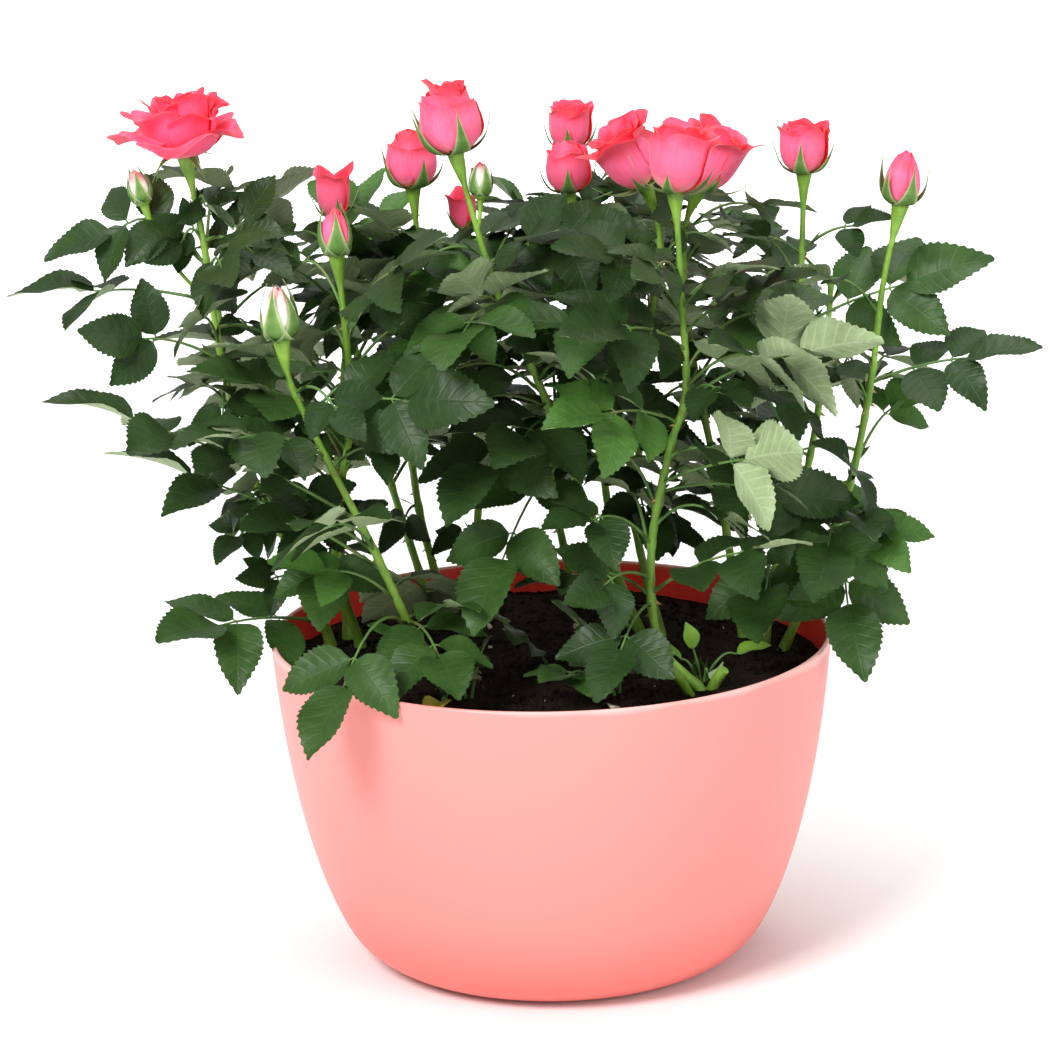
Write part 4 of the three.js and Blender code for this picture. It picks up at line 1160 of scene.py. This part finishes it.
def sepal(pile, half_width, run, turn, size, draw, place, rows=14):
    """One sepal: a narrow blade that follows its run, hollow side inwards, with a tail at its tip."""
    t = np.linspace(0, 1, rows)
    stray = [0, 0, draw() - 0.5, 2 * (draw() - 0.5)]
    line = bezier(t, *[(r + 0.8 * k, z + 1.6 * k) for (r, z), k in zip(run, stray)])
    width = half_width * 2.4 * (t + 0.15) ** 0.5 * (1 - t) ** 1.7 * (0.9 + 0.2 * draw())
    across = np.array([-1, -0.5, 0, 0.5, 1])
    turn = math.radians(turn) + 0.4 * (draw() - 0.5) * t ** 2
    out = np.stack([np.cos(turn), np.sin(turn), 0 * t], -1)
    side = np.stack([-np.sin(turn), np.cos(turn), 0 * t], -1)
    centre = out * line[:, :1] + UP * line[:, 1:]
    out, side, width = out[:, None], side[:, None], width[:, None]
    cup = width ** 2 * across[None] ** 2 / 12
    points = centre[:, None] + side * (width * across)[..., None] - out * cup[..., None]
    uv = np.stack(np.broadcast_arrays(t[:, None], (across + 1) / 2), -1)
    pile.add(place(points.reshape(-1, 3) * size), grid_faces(rows, 5), 0, uv)
    back = points - out * SEPAL_THICK * (np.abs(across) < 1)[None, :, None]
    pile.add(place(back.reshape(-1, 3) * size), grid_faces(rows, 5, flip=True), 0, uv)


def make_bloom(kind, size, head, way, seed, petals, greens, stems, sepals=None):
    """Adds a bloom's petals, sepals and hip to their piles."""
    draw = seeded(seed)
    place = bloom_place(head, way)
    for row in RINGS[kind]:
        start = 360 * draw()
        for i in range(row.count):
            petal(petals, row, start + i * 360 / row.count, size, draw, place)
    lathe(stems, [(r * size ** 0.5, z * size ** 0.5) for r, z in HIP], 14, 0, place)
    apart = 360 / SEPAL_COUNT
    start = OPEN_FRONT if sepals else apart * draw()
    for i in range(SEPAL_COUNT):
        sepal(greens, *SEPALS[sepals or kind], start + apart * i, size, draw, place)


def make_blooms():
    greens, stems = Pile(), Pile()
    for cane in canes:
        if not cane.bloom:
            continue
        petals = Pile()
        head = cane.line.at(1.0)
        way = unit(cane.line.way(1.0) + UP * UPRIGHT + vec(*LEANS.get(cane.name, (0, 0, 0))))
        form = BLOOM_FORMS.get(cane.name, cane.bloom)
        sepals = "showing" if cane.name == SHOWING else None
        seed = SEEDS.blooms + cane.number
        make_bloom(form, cane.size, head + way * 0.3, way, seed, petals, greens, stems, sepals)
        bloom = petals.build("bloom_" + cane.name, PETALS[BLOOM_LOOKS.get(cane.name, "coral")])
        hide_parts("rose_" + cane.name)
    for name, at, head in SHOOTS:
        root, head = by_name[name].line.at(at), vec(*head)
        middle = lerp(root, head, 0.45) + vec((head[0] - root[0]) * 0.3, (head[1] - root[1]) * 0.3, -3)
        t = np.linspace(0, 1, 16)
        line = bezier(t, root, middle, head)
        tube(stems, line, lerp(*SHOOT_STALK, t ** 7), 8)
        buds = Pile()
        seed = SEEDS.shoots + len(name)
        make_bloom("bud", SHOOT_BUD, head, unit(head - middle), seed, buds, greens, stems)
        bud = buds.build("green_bud_" + name, PETALS["pale"])
    return greens, stems


# ---- bark
# A cane's skin: the run of a ring, how much slimmer than the solid it is, and how much it swells at a leaf.
BARK = Named(row=1.6, slim=0.88, swell=0.3, swell_reach=2.2, uneven=0.035, sides=12)
# Prickles: the run of cane for each, the part of the cane they stand on, and their size.
PRICKLES = Named(run=17, low=0.04, span=0.8, size=(1.6, 1.5))
# Cut canes: foot, top and radius.
STUBS = [((66, -47), (72, -50, 139), 2.3), ((58, -52), (50, -60, 141), 2.0)]


def add_prickle(pile, at, out, way, size):
    base = at + out * 0.1
    tip = at + out * size - way * size * 0.35
    side = np.cross(out, way) * size * 0.13
    foot = [base + way * size * 0.42, base + side, base - way * size * 0.3, base - side]
    pile.add([*foot, tip], [(k, (k + 1) % 4, 4) for k in range(4)])


def skin_radii(cane, shares, points):
    """A cane's radius with its swellings under each leaf and the bloom."""
    swell = np.zeros(len(shares))
    for root in cane.nodes:
        gap = np.linalg.norm(points - root, axis=1)
        swell = np.maximum(swell, BARK.swell * np.exp(-(gap / BARK.swell_reach) ** 2))
    radii = cane.radius(shares) * BARK.slim + swell
    if cane.bloom:
        hip = np.interp(cane.line.length * (1 - shares), *zip(*HIP_TAPER)) * cane.size ** 0.5
        radii = np.maximum(radii, hip)
    return radii * (1 + BARK.uneven * np.sin(np.arange(len(shares)) * 0.7 + cane.number))


def make_canes(stems, greens):
    prickles = Pile()
    for cane in canes:
        draw = seeded(SEEDS.canes + cane.number)
        shares = np.linspace(0, 1, int(cane.line.length / BARK.row))
        points = cane.line.at(shares)
        tube(stems, points, skin_radii(cane, shares, points), BARK.sides, level_foot=True)
        for _ in range(int(cane.line.length / PRICKLES.run)):
            share = PRICKLES.low + PRICKLES.span * draw()
            way = cane.line.way(share)
            angle = 2 * math.pi * draw()
            across = unit(np.cross(way, ASKEW))
            out = across * math.cos(angle) + np.cross(way, across) * math.sin(angle)
            at = cane.line.at(share) + out * cane.radius(share) * 0.85
            add_prickle(prickles, at, out, way, drawn(PRICKLES.size, draw))
    for foot, top, radius in STUBS:
        middle = lerp(vec(*foot, SOIL_TOP), vec(*top), 0.5)
        tube(stems, smooth_line([(*foot, SOIL_TOP - 2), middle, top], 4).points, radius, BARK.sides)
    bark = stems.build("canes", [stem_material()])
    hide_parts(*("cane_" + cane.name for cane in canes))
    thorn = mottled_material("prickle", 0.45, 0.5, 400, [(0.3, "8f7a3e"), (0.7, "b08a58")])
    prickles.build("prickles", [thorn])
    greens.build("sepals", [sepal_material()])


# ---- floor, light, camera
FLOOR_RADIUS = 9000
MIDDLE = (0, 0, 0.2)
# name, place and target in metres, size, power and spread
LAMPS = [
    ("key", (-0.9, -1.5, 1.5), MIDDLE, 0.8, 44, 180),
    ("fill", (1.3, -1.4, 0.9), MIDDLE, 1.2, 12, 180),
    ("top", (0.1, 0.2, 1.7), MIDDLE, 1.0, 12, 180),
    ("backdrop", (0, 2.5, 2.4), (0, 2.5, 0), 2.8, 34, 84),
]
DAYLIGHT = 0.55
SENSOR = 36


def make_stage():
    pile = Pile()
    lathe(pile, [(FLOOR_RADIUS, 0), (FLOOR_RADIUS / 2, 0), (1, 0)], 64)
    mesh = bpy.data.meshes.new("floor")
    mesh.from_pydata((pile.all_points() * METRES).tolist(), [], pile.all_faces())
    mesh.polygons.foreach_set("use_smooth", np.full(len(mesh.polygons), True))
    mesh.materials.append(mottled_material("studio_floor", 0.9, 0.1, 3, [(0.4, "f6f6f6"), (0.6, "f9f9f9")]))
    floor = add_object("floor", mesh)


def stand(right, up, back, place):
    """Where a lamp or camera stands, from its three directions and its place."""
    return Matrix(np.column_stack([right, up, back, place]).tolist() + [[0, 0, 0, 1]])


def make_lights():
    world = bpy.data.worlds.new("studio")
    bpy.context.scene.world = world
    world.use_nodes = True
    background = world.node_tree.nodes["Background"]
    background.inputs["Color"].default_value = (1, 1, 1, 1)
    background.inputs["Strength"].default_value = DAYLIGHT
    for name, place, target, size, power, spread in LAMPS:
        light = bpy.data.lights.new(name, "AREA")
        light.shape = "DISK"
        light.size = size
        light.energy = power
        light.spread = math.radians(spread)
        back = unit(vec(*place) - vec(*target))
        right = unit(np.cross(vec(0, 1, 0.01), back))
        add_object(name, light).matrix_world = stand(right, np.cross(back, right), back, place)


def make_camera():
    place = camera_place()
    pitch = math.radians(CAMERA.elevation) - math.atan(CAMERA.down / CAMERA.focal)
    yaw = math.atan(CAMERA.right / CAMERA.focal)
    look = vec(-math.sin(yaw) * math.cos(pitch), math.cos(yaw) * math.cos(pitch), -math.sin(pitch))
    right = unit(np.cross(look, UP))
    up = np.cross(right, look)
    roll = math.radians(CAMERA.roll)
    turned_right = right * math.cos(roll) - up * math.sin(roll)
    turned_up = right * math.sin(roll) + up * math.cos(roll)
    data = bpy.data.cameras.new("camera")
    data.sensor_width = SENSOR
    data.lens = SENSOR * (CAMERA.focal / CAMERA.width)
    data.clip_start = 0.05
    camera = add_object("camera", data)
    camera.matrix_world = stand(turned_right, turned_up, -look, place)
    bpy.context.scene.camera = camera


# ---- everything
bpy.context.scene.view_settings.view_transform = "Standard"
make_camera()
make_lights()
make_stage()
make_pot()
make_soil()
bush = grow_bush()
make_leaves(bush)
sepal_pile, stem_pile = make_blooms()
make_canes(stem_pile, sepal_pile)
